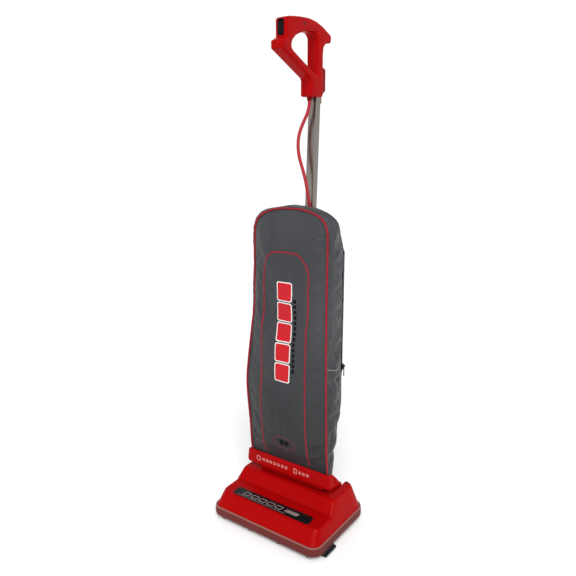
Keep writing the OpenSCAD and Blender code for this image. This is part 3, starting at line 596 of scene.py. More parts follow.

# Fillet where the riser meets the low deck
step = [(x, -47.2 + 0.3 * abs(x / 140) ** 8, 71.6) for x in range(-138, 139, 6)]
bead = rod("hood_step_fillet", step, 1.6, 10)
place(bead, red.mat, HEAD)

# Label strip, with plain silver bars instead of words
slope = math.atan(6 / 53)


def on_label(o):
    """Moves a flat top-view piece on to the sloping front deck."""
    o.data.transform(Matrix.Translation((0, -88.5 * MM, 68.1 * MM)) @ Matrix.Rotation(slope, 4, "X"))
    return o


def printed(outline):
    return on_label(moulded("mark", outline, 1.45, 1.75, 0.1, "top", 1))


label = on_label(moulded("label_strip", [rect(0, 0, 116, 14, 8.5, 5)], 0, 1.5, 0.5, "top"))
place(label, gloss_black.mat, HEAD, ["label_plate"])
marks = [printed([rect(cx, 0, 10, 6.5, 2.5, 5, 3), rect(cx, 0, 7.5, 4, 1.5, 5, 2)]) for cx in range(-78, 23, 25)]
marks += [printed([rect(60, 0, 19, 5, 2.5, 5, 3)]), printed([rect(-28, -10.4, 75, 0.65, 0.6, 5)])]
place(join(marks, "label_bars"), silver_ink.mat, HEAD)

# Bumper: a rounded vinyl section swept round the head, with a lighter lip
def swept_band(name, section, r_front=27, r_rear=36, n=14):
    """Section of (inset, z) points swept round the bumper's plan."""
    verts = []
    for inset, z in section:
        verts += [(x, y, z) for x, y in rounded_rect(BUMPER_HALF - inset, FRONT + inset, BACK - inset,
                                                     r_front - inset, r_rear - inset, n)]
    o = mesh_object(name, verts, quads(len(section), 4 * (n + 1), loop=True))
    fix_normals(o)
    return o


band = [(4.0, 11.3), (1.6, 11.1), (0.7, 11.9), (0.15, 13.5), (0.0, 16.0), (0.0, 23.0), (0.15, 27.0),
        (0.5, 29.3), (1.2, 30.5), (2.2, 30.9), (4.0, 30.9)]
bumper = swept_band("bumper_band", band)
for x in (-BUMPER_HALF, BUMPER_HALF):
    cut(bumper, block("notch", (x - 15, -105, 8), (x + 15, -53, 13.2), 0.8, 1))
place(bumper, vinyl.mat, HEAD, ["bumper"], 40)
lip = swept_band("bumper_lip", [(4.3, 30.7), (1.6, 30.7), (0.9, 31.3), (0.8, 32.4), (1.3, 33.5), (2.3, 34.0),
                                (4.3, 34.0)])
place(lip, lip_mat.mat, HEAD, angle=50)

# Edge brushes: stiff pads of bristles under the bumper
CORNERS = ((-1, -1), (1, -1), (1, 1), (-1, 1))
rng = random.Random(7)
for s, side in ((-1, "left"), (1, "right")):
    verts, faces = [], []
    for i in range(46):
        for j in range(3):
            y = -101.6 + i + rng.uniform(-0.3, 0.3)
            z = 6.9 - 1.9 * j + rng.uniform(-0.3, 0.3)
            x1 = 167.6 + rng.uniform(-1.6, 0.0)
            dy, dz = rng.uniform(-0.9, 0.9), rng.uniform(-0.8, 0.3)
            a, b, n0 = 0.62, 0.3, len(verts)
            for x, cy, cz, h in ((151, y, z, a), (161, y + dy * 0.4, z + dz * 0.3, a), (x1, y + dy, z + dz, b)):
                verts += [(s * x, cy + e * h, cz + g * h) for e, g in CORNERS]
            faces += quads(3, 4, n0) + [(n0 + 8, n0 + 9, n0 + 10, n0 + 11)]
    o = mesh_object("edge_brush_" + side, verts, faces)
    fix_normals(o)
    core = block("core", (s * 159 - 8, -101.5, 2.9), (s * 159 + 8, -56.5, 7.4), 1.2)
    o = join([o, core], "edge_brush_" + side)
    place(o, bristle.mat, HEAD, ["side_brush_bristles"])

# Brush roll's tufts, each a small fan of bristles in its hole
verts, faces = [], []
for row in (0, 180):
    for x in range(-130, 131, 10):
        if abs(x + 66) <= 8:
            continue
        a = math.radians(row + x * 1.2)
        out = Vector((0, -math.sin(a), math.cos(a)))
        tan = Vector((0, math.cos(a), math.sin(a)))
        for _ in range(14):
            u, v = rng.uniform(-1.6, 1.6), rng.uniform(-1.6, 1.6)
            if u * u + v * v > 3.0:
                continue
            base = Vector((x + u, -94, 26)) + out * 13.2 + tan * v
            tip = Vector((x + u * 1.5, -94, 26)) + out * (24.6 - rng.uniform(0, 0.8)) + tan * v * 1.5
            n0 = len(verts)
            for p, h in ((base, 0.5), (tip, 0.32)):
                verts += [p + Vector((e * h, 0, 0)) + tan * (g * h) for e, g in CORNERS]
            faces += quads(2, 4, n0) + [(n0 + 4, n0 + 5, n0 + 6, n0 + 7)]
tufts = mesh_object("roll_tufts", verts, faces)
fix_normals(tufts)
place(tufts, bristle.mat, "brush_roll", ["brush_roll_bristles"])

# Wheels' tyres with a ribbed tread
for s, side in ((-1, "left"), (1, "right")):
    verts, n = [], 72
    prof = [(125, 16.2), (125, 19.0), (125.9, 19.9)]
    for x in range(127, 143, 3):
        prof += [(x, 19.2), (x + 1, 19.9)]
    prof += [(143.9, 19.9), (144.8, 19.0), (144.8, 16.2)]
    for x, r in prof:
        for j in range(n):
            a = 2 * math.pi * j / n
            verts.append((s * x, 70 + r * math.sin(a), 20 + r * math.cos(a)))
    o = mesh_object("tread_" + side, verts, quads(len(prof), n, loop=True))
    fix_normals(o)
    place(o, rubber.mat, side + "_wheel", ["tyre_" + side], 25)

# Pieces whose CAD shape is right, with eased edges
for node, mat, body_name, width in (
        ("motor_cover", red, HEAD, 0.7), ("base_plate", gray_plastic, HEAD, 0.6),
        ("yoke", red, HANDLE, 1.2), ("base_latch_left", dark_gray, "left_latch", 0.5),
        ("base_latch_right", dark_gray, "right_latch", 0.5)):
    place(softened(node, width), mat.mat, body_name, [node])

# ---- Bag ----
# Front seam of the right half: height, half width, depth
SEAM = [(125, 114, -15.5), (155, 115, -16.5), (178, 115.2, -20), (205, 114.6, -22.3), (245, 115.2, -24.8),
        (300, 116.6, -29.6), (354, 117.2, -32.2), (398, 115, -30), (454, 111, -25), (507, 107.2, -19.6),
        (550, 104, -15.2), (600, 103, -13.6), (660, 103, -13), (728, 102.6, -12), (746, 100.4, -11.2),
        (760, 94.6, -10.4), (771, 84.4, -9.6), (780, 67, -9), (786.5, 45, -8.6), (789.6, 22, -8.3), (790, 0, -8.2)]
# Height, front bulge of the panel, its squareness, gusset's forward puff and its outward bulge
FORM = [(125, 1.5, 4, 1.0, 2.0), (155, 2.0, 4, 1.0, 2.0), (176, 6, 3.4, 1.5, 2.6), (205, 11, 3.6, 2.0, 3.6),
        (250, 15.5, 3.8, 2.0, 4.2), (300, 13, 3.8, 2.0, 4.5), (354, 11, 3.8, 2.0, 4.5), (454, 15.5, 4, 3.6, 6),
        (507, 18.5, 4.4, 5.0, 8.5), (550, 20, 4.8, 6.6, 11), (600, 19.6, 4.8, 7, 12), (700, 17.6, 4.6, 6.6, 11.5),
        (740, 12.6, 4, 5.4, 11), (765, 7.6, 3, 4.4, 11.5), (780, 3.8, 2.4, 3.6, 9.5), (790, 0.5, 2, 3.2, 6)]
# Height, rear corner's half width and depth
REAR = [(125, 92, 25), (156, 96, 31), (180, 98.5, 37), (203, 100.5, 41), (226, 102, 45.5), (249, 103, 50.5),
        (271, 103.6, 55), (289, 104, 61), (305, 104.3, 63.8), (330, 104.4, 64.8), (560, 104.2, 64), (640, 104, 62),
        (690, 103.6, 59.5), (712, 101.5, 56), (730, 98.5, 54), (748, 95, 51.5), (766, 88, 48), (790, 67, 46)]
spine = resample(catmull([Vector((x, y, z)) for z, x, y in SEAM], 8), 7.0)
COLS, GUS, BACK_COLS = 41, 20, 14


def section(points, n):
    return resample(catmull([Vector(p) for p in points], 6), sum(
        (Vector(b) - Vector(a)).length for a, b in zip(points, points[1:])) / n)[:n + 1]


def tube_face(z):
    """Depth of the leaning tube's front face."""
    return 35.65 + 0.0498 * z - 8.75


def gusset_rows(k):
    """Right half's points from the front seam round the gusset and across the back to x = 0."""
    p = spine[k]
    t = (spine[min(k + 1, len(spine) - 1)] - spine[max(k - 1, 0)])
    t.y = 0
    t.normalize()
    nrm = Vector((t.z, 0, -t.x))
    up = max(0.0, nrm.z) ** 1.5
    _, _, puff, out = table(FORM, p.z)
    rx, ry = table(REAR, p.z)
    back_out = (rx - p.x) * (1 - up) - 1.0 * up
    ry = ry * (1 - up) + 47 * up
    d = ry - p.y
    ctrl = [(0, 0), (puff, -0.6 + 0.01 * d), (out * 0.93, 0.11 * d), (out, 0.32 * d),
            (out * 0.8 + back_out * 0.2, 0.6 * d), (back_out + (1.8 if p.z > 280 else 2.6), 0.86 * d),
            (back_out + 0.9, 0.955 * d), (back_out - 1.6, 0.995 * d), (back_out - 8, d)]
    line = section([(a, b, 0) for a, b in ctrl], GUS)
    pts = [Vector((p.x + nrm.x * q.x, p.y + q.y, p.z + nrm.z * q.x)) for q in line]
    last = pts[-1]
    for j in range(1, BACK_COLS + 1):
        f = j / BACK_COLS
        x = last.x * (1 - f)
        y = last.y + 1.5 * math.sin(math.pi * f) * (1 - up)
        if p.z < 745:
            face = tube_face(p.z) - 1.6
            y = y + (min(y, face) - y) * smoothstep((24 - x) / 6)
        pts.append(Vector((x, y, last.z)))
    return pts


def front_point(k, u):
    p = spine[k]
    bulge, power, _, _ = table(FORM, p.z)
    return Vector((p.x * u, p.y - bulge * (1 - abs(u) ** power), p.z))


R = len(spine)
us = [2 * j / (COLS - 1) - 1 for j in range(COLS)]
verts = [front_point(k, math.sin(math.pi / 2 * u) * 0.35 + u * 0.65) for k in range(R) for u in us]
faces = quads(R, COLS, closed=False)
for s in (1, -1):
    start = len(verts)
    for k in range(R):
        row = gusset_rows(k)[1:]
        verts += [(s * q.x, q.y, q.z) for q in row]
    w = len(row)
    seam_col = COLS - 1 if s > 0 else 0
    for k in range(R - 1):
        a0, b0 = k * COLS + seam_col, (k + 1) * COLS + seam_col
        a1, b1 = start + k * w, start + (k + 1) * w
        quad = (a0, a1, b1, b0)
        faces.append(quad if s > 0 else tuple(reversed(quad)))
        for j in range(w - 1):
            quad = (a1 + j, a1 + j + 1, b1 + j + 1, b1 + j)
            faces.append(quad if s > 0 else tuple(reversed(quad)))
bag = mesh_object("bag_shell", verts, faces)
with edited(bag) as bm:
    bmesh.ops.remove_doubles(bm, verts=bm.verts, dist=1e-5)
    bmesh.ops.recalc_face_normals(bm, faces=bm.faces)
seam_tree = KDTree(R)
for k, p in enumerate(spine):
    seam_tree.insert(p, k)
seam_tree.balance()


def near_seam(c):
    """Distance in metres from a point to the front seam."""
    q = Vector((abs(c.x), c.y, c.z)) / MM
    return seam_tree.find(q)[2] * MM


def pinning(c):
    """How firmly each point of the bag is held: seams, zip, bar, tube groove and top."""
    z = c.z / MM
    hold = 1 - smoothstep((near_seam(c) / MM - 2) / 14)
    hold = max(hold, 1 - smoothstep((z - 165) / 30), smoothstep((z - 760) / 25))
    if c.y / MM > 44:
        hold = max(hold, 1 - smoothstep((abs(abs(c.x) / MM - 104) - 3) / 8))
    if c.y / MM > 25 and abs(c.x) / MM < 40:
        hold = 1.0
    return hold


# The cloth relaxes between its seams with a little slack and the fan's light pressure
group = bag.vertex_groups.new(name="pin")
rest = [v.co.copy() for v in bag.data.vertices]
holds = [pinning(c) for c in rest]
for k, h in enumerate(holds):
    group.add([k], h, "REPLACE")
c = modify(bag, "CLOTH")
c.settings.quality = 5
c.settings.mass = 0.3
c.settings.tension_stiffness = 25
c.settings.compression_stiffness = 20
c.settings.shear_stiffness = 8
c.settings.bending_stiffness = 0.6
c.settings.shrink_min = -0.035
c.settings.use_pressure = True
c.settings.uniform_pressure_force = 1.4
c.settings.vertex_group_mass = "pin"
c.settings.pin_stiffness = 1.0
c.settings.effector_weights.gravity = 0.25
c.collision_settings.use_collision = False
c.point_cache.frame_start, c.point_cache.frame_end = 1, 24
for f in range(1, 25):
    scene.frame_set(f)
graph = bpy.context.evaluated_depsgraph_get()
done = [v.co.copy() for v in bag.evaluated_get(graph).data.vertices]
bag.modifiers.clear()
scene.frame_set(1)
for v, a, b, h in zip(bag.data.vertices, rest, done, holds):
    d = (b - a) * (1 - h) ** 0.5
    cap = (4.5 if abs(a.x) > 0.1 else 3.0) * MM
    if d.length > cap:
        d = d.normalized() * (cap * (1 - 0.35 * math.exp(1 - d.length / cap)))
    v.co = a + d
modify(bag, "SUBSURF", levels=2, render_levels=2)
apply_all(bag)


def wrinkle(c):
    """Creases of the cloth, along its normal, in millimetres."""
    x, y, z = c.x / MM, c.y / MM, c.z / MM
    out = 0.0
    near = near_seam(c) / MM
    grip = smoothstep((near - 1.2) / 5)
    side = smoothstep((abs(x) - 98) / 8) * smoothstep((y + 12) / 14)
    # Puckers that run forward from the zip, strongest at mid height
    zone = smoothstep((z - 400) / 50) * (1 - smoothstep((z - 690) / 50))
    slant = z * 0.9 - 0.75 * y
    pucker = noise.noise((slant / 21, y / 60, 3.1 + x * 0.001)) + 0.5 * noise.noise((slant / 9.5, y / 26, 8.7))
    out += side * zone * grip * 4.6 * pucker * (0.45 + 0.55 * smoothstep((y - 10) / 40))
    # A long soft fold above the bar on the sides
    low_zone = smoothstep((z - 185) / 50) * (1 - smoothstep((z - 392) / 14))
    fold = math.exp(-((y - 34 + (z - 340) * 0.34) / 9.0) ** 2)
    out += side * low_zone * (-4.6 * fold + 2.0 * noise.noise((z / 46, y / 24, 1.3)))
    # Sewing gathers beside the piping
    gather = noise.noise((z / 5.5, x / 5.5, y / 5.5)) * smoothstep((near - 1) / 2)
    out += 0.45 * math.exp(-((near - 5) / 5) ** 2) * gather
    # Slow waves over the panels
    out += (1 - side) * grip * smoothstep((z - 170) / 30) * (
        3.4 * noise.noise((x / 70 + z / 300, y / 40, z / 105 - x / 260))
        + 0.9 * noise.noise((x / 21, 4.0, z / 48)))
    return out


keep = bag.data
normals = [v.normal.copy() for v in keep.vertices]
for v, n in zip(keep.vertices, normals):
    x, y, z = v.co.x / MM, v.co.y / MM, v.co.z / MM
    # The cloth is drawn in along the zip, and stays clear of it and of the bar
    v.co += n * wrinkle(v.co) * MM
    if x > 0 and 50 < y < 64 and 390 < z < 696:
        v.co.x = min(v.co.x, 104.6 * MM)
    if z < 160:
        v.co.y = max(v.co.y, -18.2 * MM)
        v.co.x = max(-120.4 * MM, min(120.4 * MM, v.co.x))
keep.update()
tree = BVHTree.FromObject(bag, bpy.context.evaluated_depsgraph_get())
modify(bag, "SOLIDIFY", thickness=1.1 * MM, offset=-1)
apply_all(bag)
place(bag, bag_mat.mat, HANDLE, ["outer_bag"], 60)


def on_front(x, z, lift=0.35):
    """Point on the bag's front, in metres, lifted off it."""
    hit, nrm, _, _ = tree.ray_cast(Vector((x * MM, -0.3, z * MM)), Vector((0, 1, 0)))
    return hit + nrm * (lift * MM if nrm.y < 0 else -lift * MM)


def ribbon(name, line, width):
    """Flat strip printed on the bag's front along (x, z) points."""
    pts = resample([Vector((a, b, 0)) for a, b in line], 3.0)
    verts = []
    for k, p in enumerate(pts):
        t = (pts[min(k + 1, len(pts) - 1)] - pts[max(k - 1, 0)]).normalized()
        w = Vector((-t.y, t.x, 0))
        for across in (-0.5, 0.0, 0.5):
            q = p + w * width * across
            verts.append(on_front(q.x, q.y))
    o = mesh_object(name, verts, quads(len(pts), 3, closed=False), 1.0)
    fix_normals(o)
    modify(o, "SOLIDIFY", thickness=0.45 * MM, offset=0)
    return apply_all(o)


# Printed stripe in an arch, left open at the bar
arch = [(-66, 164), (-66, 300), (-65, 450), (-64, 560), (-63.5, 640), (-58, 667), (-47, 681), (-36, 688.5),
        (-20, 690.5)]
arch += [(0, 691)] + [(-x, z) for x, z in reversed(arch)]
place(ribbon("arch_stripe", arch, 4.2), ink_mat.mat, HANDLE)


def tile(x, z, hx, hz, r, lift):
    """Flat printed rounded rectangle on the bag's front, round (x, z)."""
    bm = bmesh.new()
    bm.faces.new([bm.verts.new((p.x, p.y, 0)) for p in rect(x, z, hx, hz, r)])
    bmesh.ops.triangulate(bm, faces=bm.faces)
    for _ in range(3):
        long = [e for e in bm.edges if e.calc_length() > 4]
        if not long:
            break
        bmesh.ops.subdivide_edges(bm, edges=long, cuts=1)
        bmesh.ops.triangulate(bm, faces=bm.faces)
    o = mesh_object("tile", [], [])
    bm.to_mesh(o.data)
    bm.free()
    for v in o.data.vertices:
        v.co = on_front(v.co.x, v.co.y, lift)
    fix_normals(o)
    modify(o, "SOLIDIFY", thickness=0.3 * MM, offset=0)
    return apply_all(o)


# Plain red tiles edged in white, with a row of small black dashes beside them
heights = [401 + 49.4 * k for k in range(5)]
edges = [tile(0, z, 22, 23.4, 6, 0.3) for z in heights]
tiles = [tile(0, z, 19.4, 20.8, 4.5, 0.6) for z in heights]
ticks = [tile(30.5, 410 + 13 * k, 3.6, 4.4, 1, 0.3) for k in range(14)]
place(join(edges, "emblem_edges"), ink_white.mat, HANDLE)
place(join(tiles, "emblem_bars"), ink_bright.mat, HANDLE)
place(join(ticks, "emblem_dashes"), ink_black.mat, HANDLE)
oval = [(34 * math.cos(a), 213 + 17 * math.sin(a)) for a in [2 * math.pi * j / 40 for j in range(41)]]
place(ribbon("foot_oval", oval, 2.2), ink_faint.mat, HANDLE)
feet = [tile(x, 213, 6.5, 7.5, 2, 0.4) for x in (-8, 8)]
place(join(feet, "foot_mark"), ink_black.mat, HANDLE)

# Piping sewn into the front seam
line = [Vector((-p.x, p.y, p.z)) for p in spine[3:]] + [p.copy() for p in reversed(spine[3:-1])]
line = resample(line, 4.0)
proud = [p + Vector((math.copysign(0.9, p.x) * min(1, abs(p.x) / 60), -1.3, 0.7 if p.z > 740 else 0))
         for p in line]
pipe = rod("piping", proud, 2.3, 10)
flange = rod("flange", [p + Vector((0, -0.2, 0)) for p in line], 1.25, 6)
place(join([pipe, flange], "piping"), pipe_mat.mat, HANDLE, ["bag_piping"], 60)

# Zip up the back of the right side: tape, two rows of teeth, and its line on over the shoulder
tape = [block("tape", (104.7, y0, 394), (105.5, y1, 692), 0.3, 1) for y0, y1 in ((51.8, 56.2), (57.8, 60.4))]
place(join(tape, "zip_tape"), tape_mat.mat, HANDLE)
z = 398.0
verts, faces = [], []
while z < 688:
    for side, off in ((-1, 0.0), (1, 0.9)):
        y0, y1 = sorted((57 + side * 1.5, 57 - side * 0.35))
        x0, x1, z0, z1 = 105.3, 106.7, z + off, z + off + 1.0
        n0 = len(verts)
        verts += [(x, y, w) for x in (x0, x1) for y in (y0, y1) for w in (z0, z1)]
        faces += [tuple(n0 + i for i in q) for q in BOX_FACES]
    z += 1.8
o = mesh_object("zip_teeth", verts, faces)
place(o, dark_gray.mat, HANDLE, ["bag_zip"])


def on_bag(p):
    """Nearest point on the bag, in metres, to p in millimetres."""
    return tree.find_nearest(Vector(p) * MM)[0]


def seam_line(name, points, width, mat, lift):
    """Low rounded strip laid along points on the bag."""
    pts = [on_bag(p) for p in resample(catmull(points, 8), 3.0)]
    verts = []
    for k, p in enumerate(pts):
        t = (pts[min(k + 1, len(pts) - 1)] - pts[max(k - 1, 0)]).normalized()
        _, nrm, _, _ = tree.find_nearest(p)
        if nrm.dot(p - Vector((0, 0.02, p.z))) < 0:
            nrm = -nrm
        w = t.cross(nrm).normalized()
        for a, h in ((-0.5, -0.4), (-0.32, lift), (0.32, lift), (0.5, -0.4)):
            verts.append(p + w * (width * a * MM) + nrm * (h * MM))
    o = mesh_object(name, verts, quads(len(pts), 4) + caps(len(pts), 4), 1.0)
    fix_normals(o)
    place(o, mat.mat, HANDLE, angle=60)


seam_line("zip_over_top", [(105, 57, 690), (103, 47, 716), (100, 32, 738), (94, 16, 757), (82, 8, 772), (64, 12, 784),
                           (42, 24, 792), (20, 36, 795)], 4.0, tape_mat, 0.9)
for s, side in ((-1, "left"), (1, "right")):
    across = [(s * 118, -25, 427), (s * 120, -5, 421), (s * 120, 18, 419), (s * 115, 38, 422), (s * 107, 49, 430)]
    seam_line("gusset_seam_" + side, across, 3.0, seam_mat, 0.6)

# Zip's slider and pull
place(softened("zip_slider", 0.5), gunmetal.mat, "slider", ["zip_slider"])
tab = fillet([(55.2, 386, 1.6), (58.8, 386, 1.6), (58.4, 410, 1.2), (55.6, 410, 1.2)])
pull = moulded("zip_tab", [tab], 111.2, 112.8, 0.4, "side", 2)
ring = rod("ring", [(112, 55.05, 411), (112, 58.95, 411)], 1.85, 20)
cut(ring, rod("hole", [(112, 50, 411), (112, 64, 411)], 0.97, 20))
cut(pull, rod("hole", [(105, 57, 390), (118, 57, 390)], 1.2, 20))
cut(pull, rod("hole", [(112, 50, 411), (112, 64, 411)], 0.97, 20))
modify(pull, "BOOLEAN", operation="UNION", object=ring, solver="EXACT")
apply_all(pull)
bpy.data.objects.remove(ring)
place(pull, gunmetal.mat, "pull_tab", ["zip_pull"])

# Bar across the foot of the bag: a shallow channel with eased corners
bar_face = fillet([(-127, 118, 6), (127, 118, 6), (128.9, 128, 10), (125.6, 156, 6), (-125.6, 156, 6),
                   (-128.9, 128, 10)], 6)
bar = moulded("retaining_bar", [bar_face], -23, 1, 2.6, "front", 5)
cut(bar, block("channel", (-121.5, -20.2, 121.2), (121.5, 6, 166), 1.2, 2))
for s in (-1, 1):
    cut(bar, block("end", (min(s * 112.5, s * 140), -9, 110), (max(s * 112.5, s * 140), 10, 170), 3, 3))
cut(bar, rod("socket", [(0, 12, 112), (0, 12, 144)], 19, 40))
for x in (-94, 94):
    cut(bar, rod("hole", [(x, -5, 112), (x, -5, 132)], 2.0, 20))
place(bar, red.mat, HANDLE, ["bag_bar"], 40)
# Row of plain outlined squares along the bar
dashes = []
for x, w, h in [(-92, 11, 13), (-76, 7, 7), (-64, 7, 7), (-52, 7, 7), (-40, 7, 7), (-28, 7, 7), (-16, 7, 7),
                (-4, 7, 7), (24, 10, 13), (38, 5, 7), (49, 7, 7), (61, 7, 7)]:
    rings = [rect(x, 137, w / 2 - inset, h / 2 - inset, 0.8) for inset in (0, 1.5)]
    dashes.append(moulded("dash", rings, -23.25, -22.85, 0.1, "front", 1))
place(join(dashes, "bar_dashes"), pale_ink.mat, HANDLE)

# ---- Handle ----
outer = fillet([(-45.5, 1155, 5), (-46, 1189, 4), (-42, 1194, 4), (-30, 1197, 12), (-14, 1199.5, 30),
                (12, 1202.8, 60), (42, 1205, 80), (71, 1203, 70), (98, 1196.5, 90), (131.5, 1183.5, 3.2),
                (135, 1176, 3.5), (132.5, 1165.5, 4), (112, 1161, 7), (102.5, 1152.5, 12), (99.8, 1138, 30),
                (100, 1041.5, 6), (50, 1041, 5), (50, 1079, 9), (-62.6, 1129, 4), (-63, 1145.5, 3.5)], 7)
window = fillet([(-27, 1137, 7), (-23, 1149, 10), (-10, 1161, 30), (10, 1170, 60), (35, 1177, 60), (62, 1179.5, 14),
                 (76, 1172, 12), (76, 1087, 6), (-20, 1130.5, 10)], 7)
whole = moulded("handle", [outer, window], -16, 16, 5.2, "side", 6)
# Recess for the switch in the front, sockets for the tube and glands, seats for the screws
cut(whole, block("pocket", (-7.3, -60, 1158.5), (7.3, -23, 1189.5), 3.0, 3))
lean = Matrix.Rotation(math.radians(-TUBE_LEAN), 4, "X")


def tube_cut(z0, z1, grow=0.05):
    """The tube's leaning outline between two heights, a little larger than the tube."""
    pts = rect(0, 0, 12.7 + grow, 8.75 + grow, 4)
    v = [(p.x, p.y, z) for z in (z0, z1) for p in pts]
    o = mesh_object("tube_cut", v, quads(2, len(pts)) + caps(2, len(pts)))
    o.data.transform(Matrix.Translation((0, 35.65 * MM, 0)) @ lean)
    fix_normals(o)
    return o


cut(whole, tube_cut(1030, 1074))
cut(whole, rod("gland", [(0, 65, 1035), (0, 65, 1079)], 7.0, 32))
screws = [(19, 1190, 1), (-37, 1143, -1), (90, 1175, -1), (83, 1088, -1), (88, 1117, -1)]
for y, z, s in screws:
    cut(whole, rod("seat", [(s * 13.5, y, z), (s * 20, y, z)], 3.6, 28))
cut(whole, rod("seat", [(-13.9, 88.2, 1056), (-20, 88.2, 1056)], 3.8, 28))
for s, side in ((-1, "left"), (1, "right")):
    o = add_object("handle_shell_" + side, whole.data.copy())
    with edited(o) as bm:
        bmesh.ops.bisect_plane(bm, geom=list(bm.verts) + list(bm.edges) + list(bm.faces), dist=1e-7,
                               plane_co=(s * 0.14 * MM, 0, 0), plane_no=(s, 0, 0), clear_inner=True)
        rim = [e for e in bm.edges if e.is_boundary]
        bmesh.ops.triangle_fill(bm, use_beauty=True, edges=rim)
        bmesh.ops.recalc_face_normals(bm, faces=bm.faces)
    place(o, red.mat, HANDLE, ["handle_" + side], 32)
bpy.data.objects.remove(whole)

# Switch: bezel with rounded corners and a two-way rocker with raised ribs at its ends
bez = moulded("switch_frame", [rect(0, 1174, 8, 16, 4), rect(0, 1174, 6.4, 14.4, 1.2)], -47.2, -45.9, 0.4,
              "front", 2)
place(bez, switch_black.mat, HANDLE, ["switch_bezel"])
prof = [(-13, 12.4), (-12.1, 6), (-11.3, 0), (-12.1, -6), (-13, -12.4), (-4, -12.6), (3, -3), (3, 3), (-4, 12.6)]
rocker = moulded("rocker_cap", [fillet([(a, b, 0.9 if abs(b) > 11 else 2.0) for a, b in prof], 4)], -6.1, 6.1, 0.7,
                 "side", 3)
ribs = [block("rib", (-4.6, -13.25, z - 0.4), (4.6, -12.0, z + 0.4), 0.3, 2) for z in (8.2, 10.2, -8.2, -10.2)]
rocker = join([rocker] + ribs, "rocker_cap")
rocker.data.transform(Matrix.Translation((0, -36 * MM, 1174 * MM)) @ Matrix.Rotation(math.radians(7), 4, "X"))
pin = rod("pin", [(-6.9, -36, 1174), (6.9, -36, 1174)], 1.5, 20)
place(join([rocker, pin], "rocker_cap"), switch_black.mat, "rocker", ["switch_rocker"])

# Strain relief housing behind the socket
housing = fillet([(100, 1109, 1.5), (112, 1109.5, 5), (118.3, 1105, 5), (118.3, 1058, 4), (100, 1045, 1.5)])
inlet = moulded("inlet_housing", [housing], -11, 11, 3.2, "side", 4)
cut(inlet, rod("entry", [(0, 109, 1030), (0, 109, 1072)], 4.2, 28))
# The housing takes the red ABS with painted shade
place(inlet, red_shaded.mat, HANDLE, ["cord_inlet"], 40)

# Ribbed strain relief on the lead, and the slanting sleeve in the tube
radii, pts = [], []
for k in range(50):
    up = k * 0.66
    groove = 0.55 if k % 6 in (3, 4) and up < 11.5 else 0.0
    pts.append((0, 65, 1033 + up))
    radii.append(5.2 + 1.7 * min(1, up / 12) - groove)
gland = rod("lead_boot", pts, 0, 28, radii)
cut(gland, rod("bore", [(0, 65, 1030), (0, 65, 1070)], 4.02, 28))
# The boot takes the red ABS with painted shade
place(gland, red_shaded.mat, HANDLE, ["lead_gland"], 40)
place(softened("lead_grommet", 0.5), rubber.mat, HANDLE, ["lead_grommet"])

# Lower cord hook: a flat boss with an arm that curls down and out
profile = fillet([(0.3, 9, 1), (7.5, 9, 3), (8.4, -26, 4), (28, -27.5, 5), (32.3, -31, 2), (32.3, -47.5, 2.5),
                  (26, -48, 2.5), (25.5, -34, 3), (5, -34, 8), (0.3, -28, 2)])
hook = moulded("cord_catch", [profile], -9, 9, 1.6, "side", 4)
hook_y = 35.65 + math.tan(math.radians(TUBE_LEAN)) * 560 + 8.75 + 0.3
hook.data.transform(Matrix.Translation((0, hook_y * MM, 560 * MM)) @ lean)
place(hook, black.mat, "cord_hook", ["lower_cord_hook"], 40)

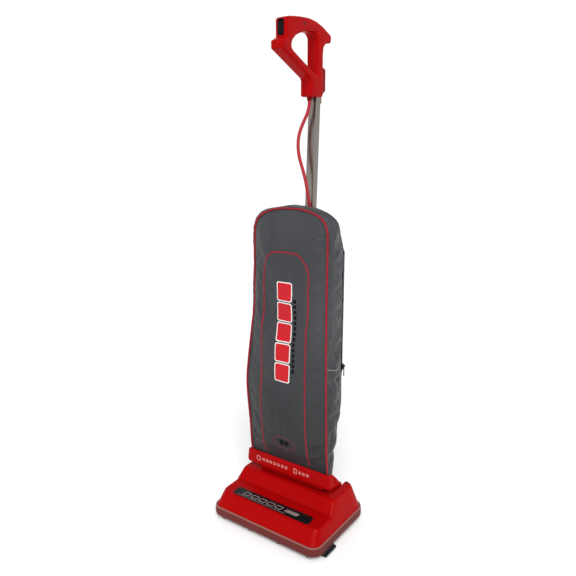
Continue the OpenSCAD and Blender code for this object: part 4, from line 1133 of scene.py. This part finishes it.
# ---- Materials for the CAD pieces that stay ----
looks = (
    (gunmetal, "hood_screws handle_screws"), (chassis_mat, "chassis"), (black, "carbon_brushes"),
    (dark_gray, "side_brush_holders intake_duct roll_bearing_blocks fill_tube switch_body"),
    (alloy, "motor_casing motor_end_caps"), (rubber, "drive_belt"), (copper, "armature"),
    (steel, "motor_stator motor_bearings trunnion_pin detent_spring wheel_axles motor_shaft drive_pulley"),
    (steel, "bag_hanger hanger_spring"), (gray_plastic, "fan_housing fan_impeller wheel_left wheel_right bag_dock"),
    (wood, "brush_roll_core"), (tube_metal, "handle_tube"), (zinc, "tube_screws bar_screws"),
    (paper, "inner_bag"), (card, "inner_bag_collar"))
for look, names in looks:
    for name in names.split():
        data = nodes[name].data
        data.materials.clear()
        data.materials.append(look.mat)

# ---- Floor and light ----
floor = mesh_object("floor", [(-14, -14, 0), (14, -14, 0), (14, 14, 0), (-14, 14, 0)], [(0, 1, 2, 3)], 1.0)
floor_mat = Look("floor_paint", (0.95, 0.95, 0.95), 0.7, Specular_IOR_Level=0.1)
floor_mat.tint(floor_mat.span(floor_mat.noise(3), 0, 1), (0.94, 0.94, 0.94), 0.5)
floor.data.materials.append(floor_mat.mat)
floor.location.z = -0.0006

world = bpy.data.worlds.new("studio")
world.use_nodes = True
tree_w = world.node_tree
coord = tree_w.nodes.new("ShaderNodeTexCoord")
split = tree_w.nodes.new("ShaderNodeSeparateXYZ")
fade = tree_w.nodes.new("ShaderNodeMapRange")
for k, v in (("From Min", 0.28), ("From Max", 0.6), ("To Min", 1.04), ("To Max", 0.54)):
    fade.inputs[k].default_value = v
tree_w.links.new(coord.outputs["Generated"], split.inputs[0])
tree_w.links.new(split.outputs["Z"], fade.inputs["Value"])
tree_w.nodes["Background"].inputs[0].default_value = (1.0, 1.0, 1.0, 1)
tree_w.links.new(fade.outputs["Result"], tree_w.nodes["Background"].inputs[1])
scene.world = world

sun_data = bpy.data.lights.new("soft_sun", "SUN")
sun_data.energy = 2.2
sun_data.angle = math.radians(32)
sun = add_object("soft_sun", sun_data)
sun.rotation_euler = Vector((0.40, -0.53, 0.74)).to_track_quat("Z", "Y").to_euler()
key_data = bpy.data.lights.new("key", "AREA")
key_data.size = 0.9
key_data.energy = 9
key = add_object("key", key_data)
key.location = (1.6, -1.9, 2.2)
key.rotation_euler = (Vector((0, 0, 0.5)) - key.location).to_track_quat("-Z", "Y").to_euler()
scene.view_settings.view_transform = "Standard"
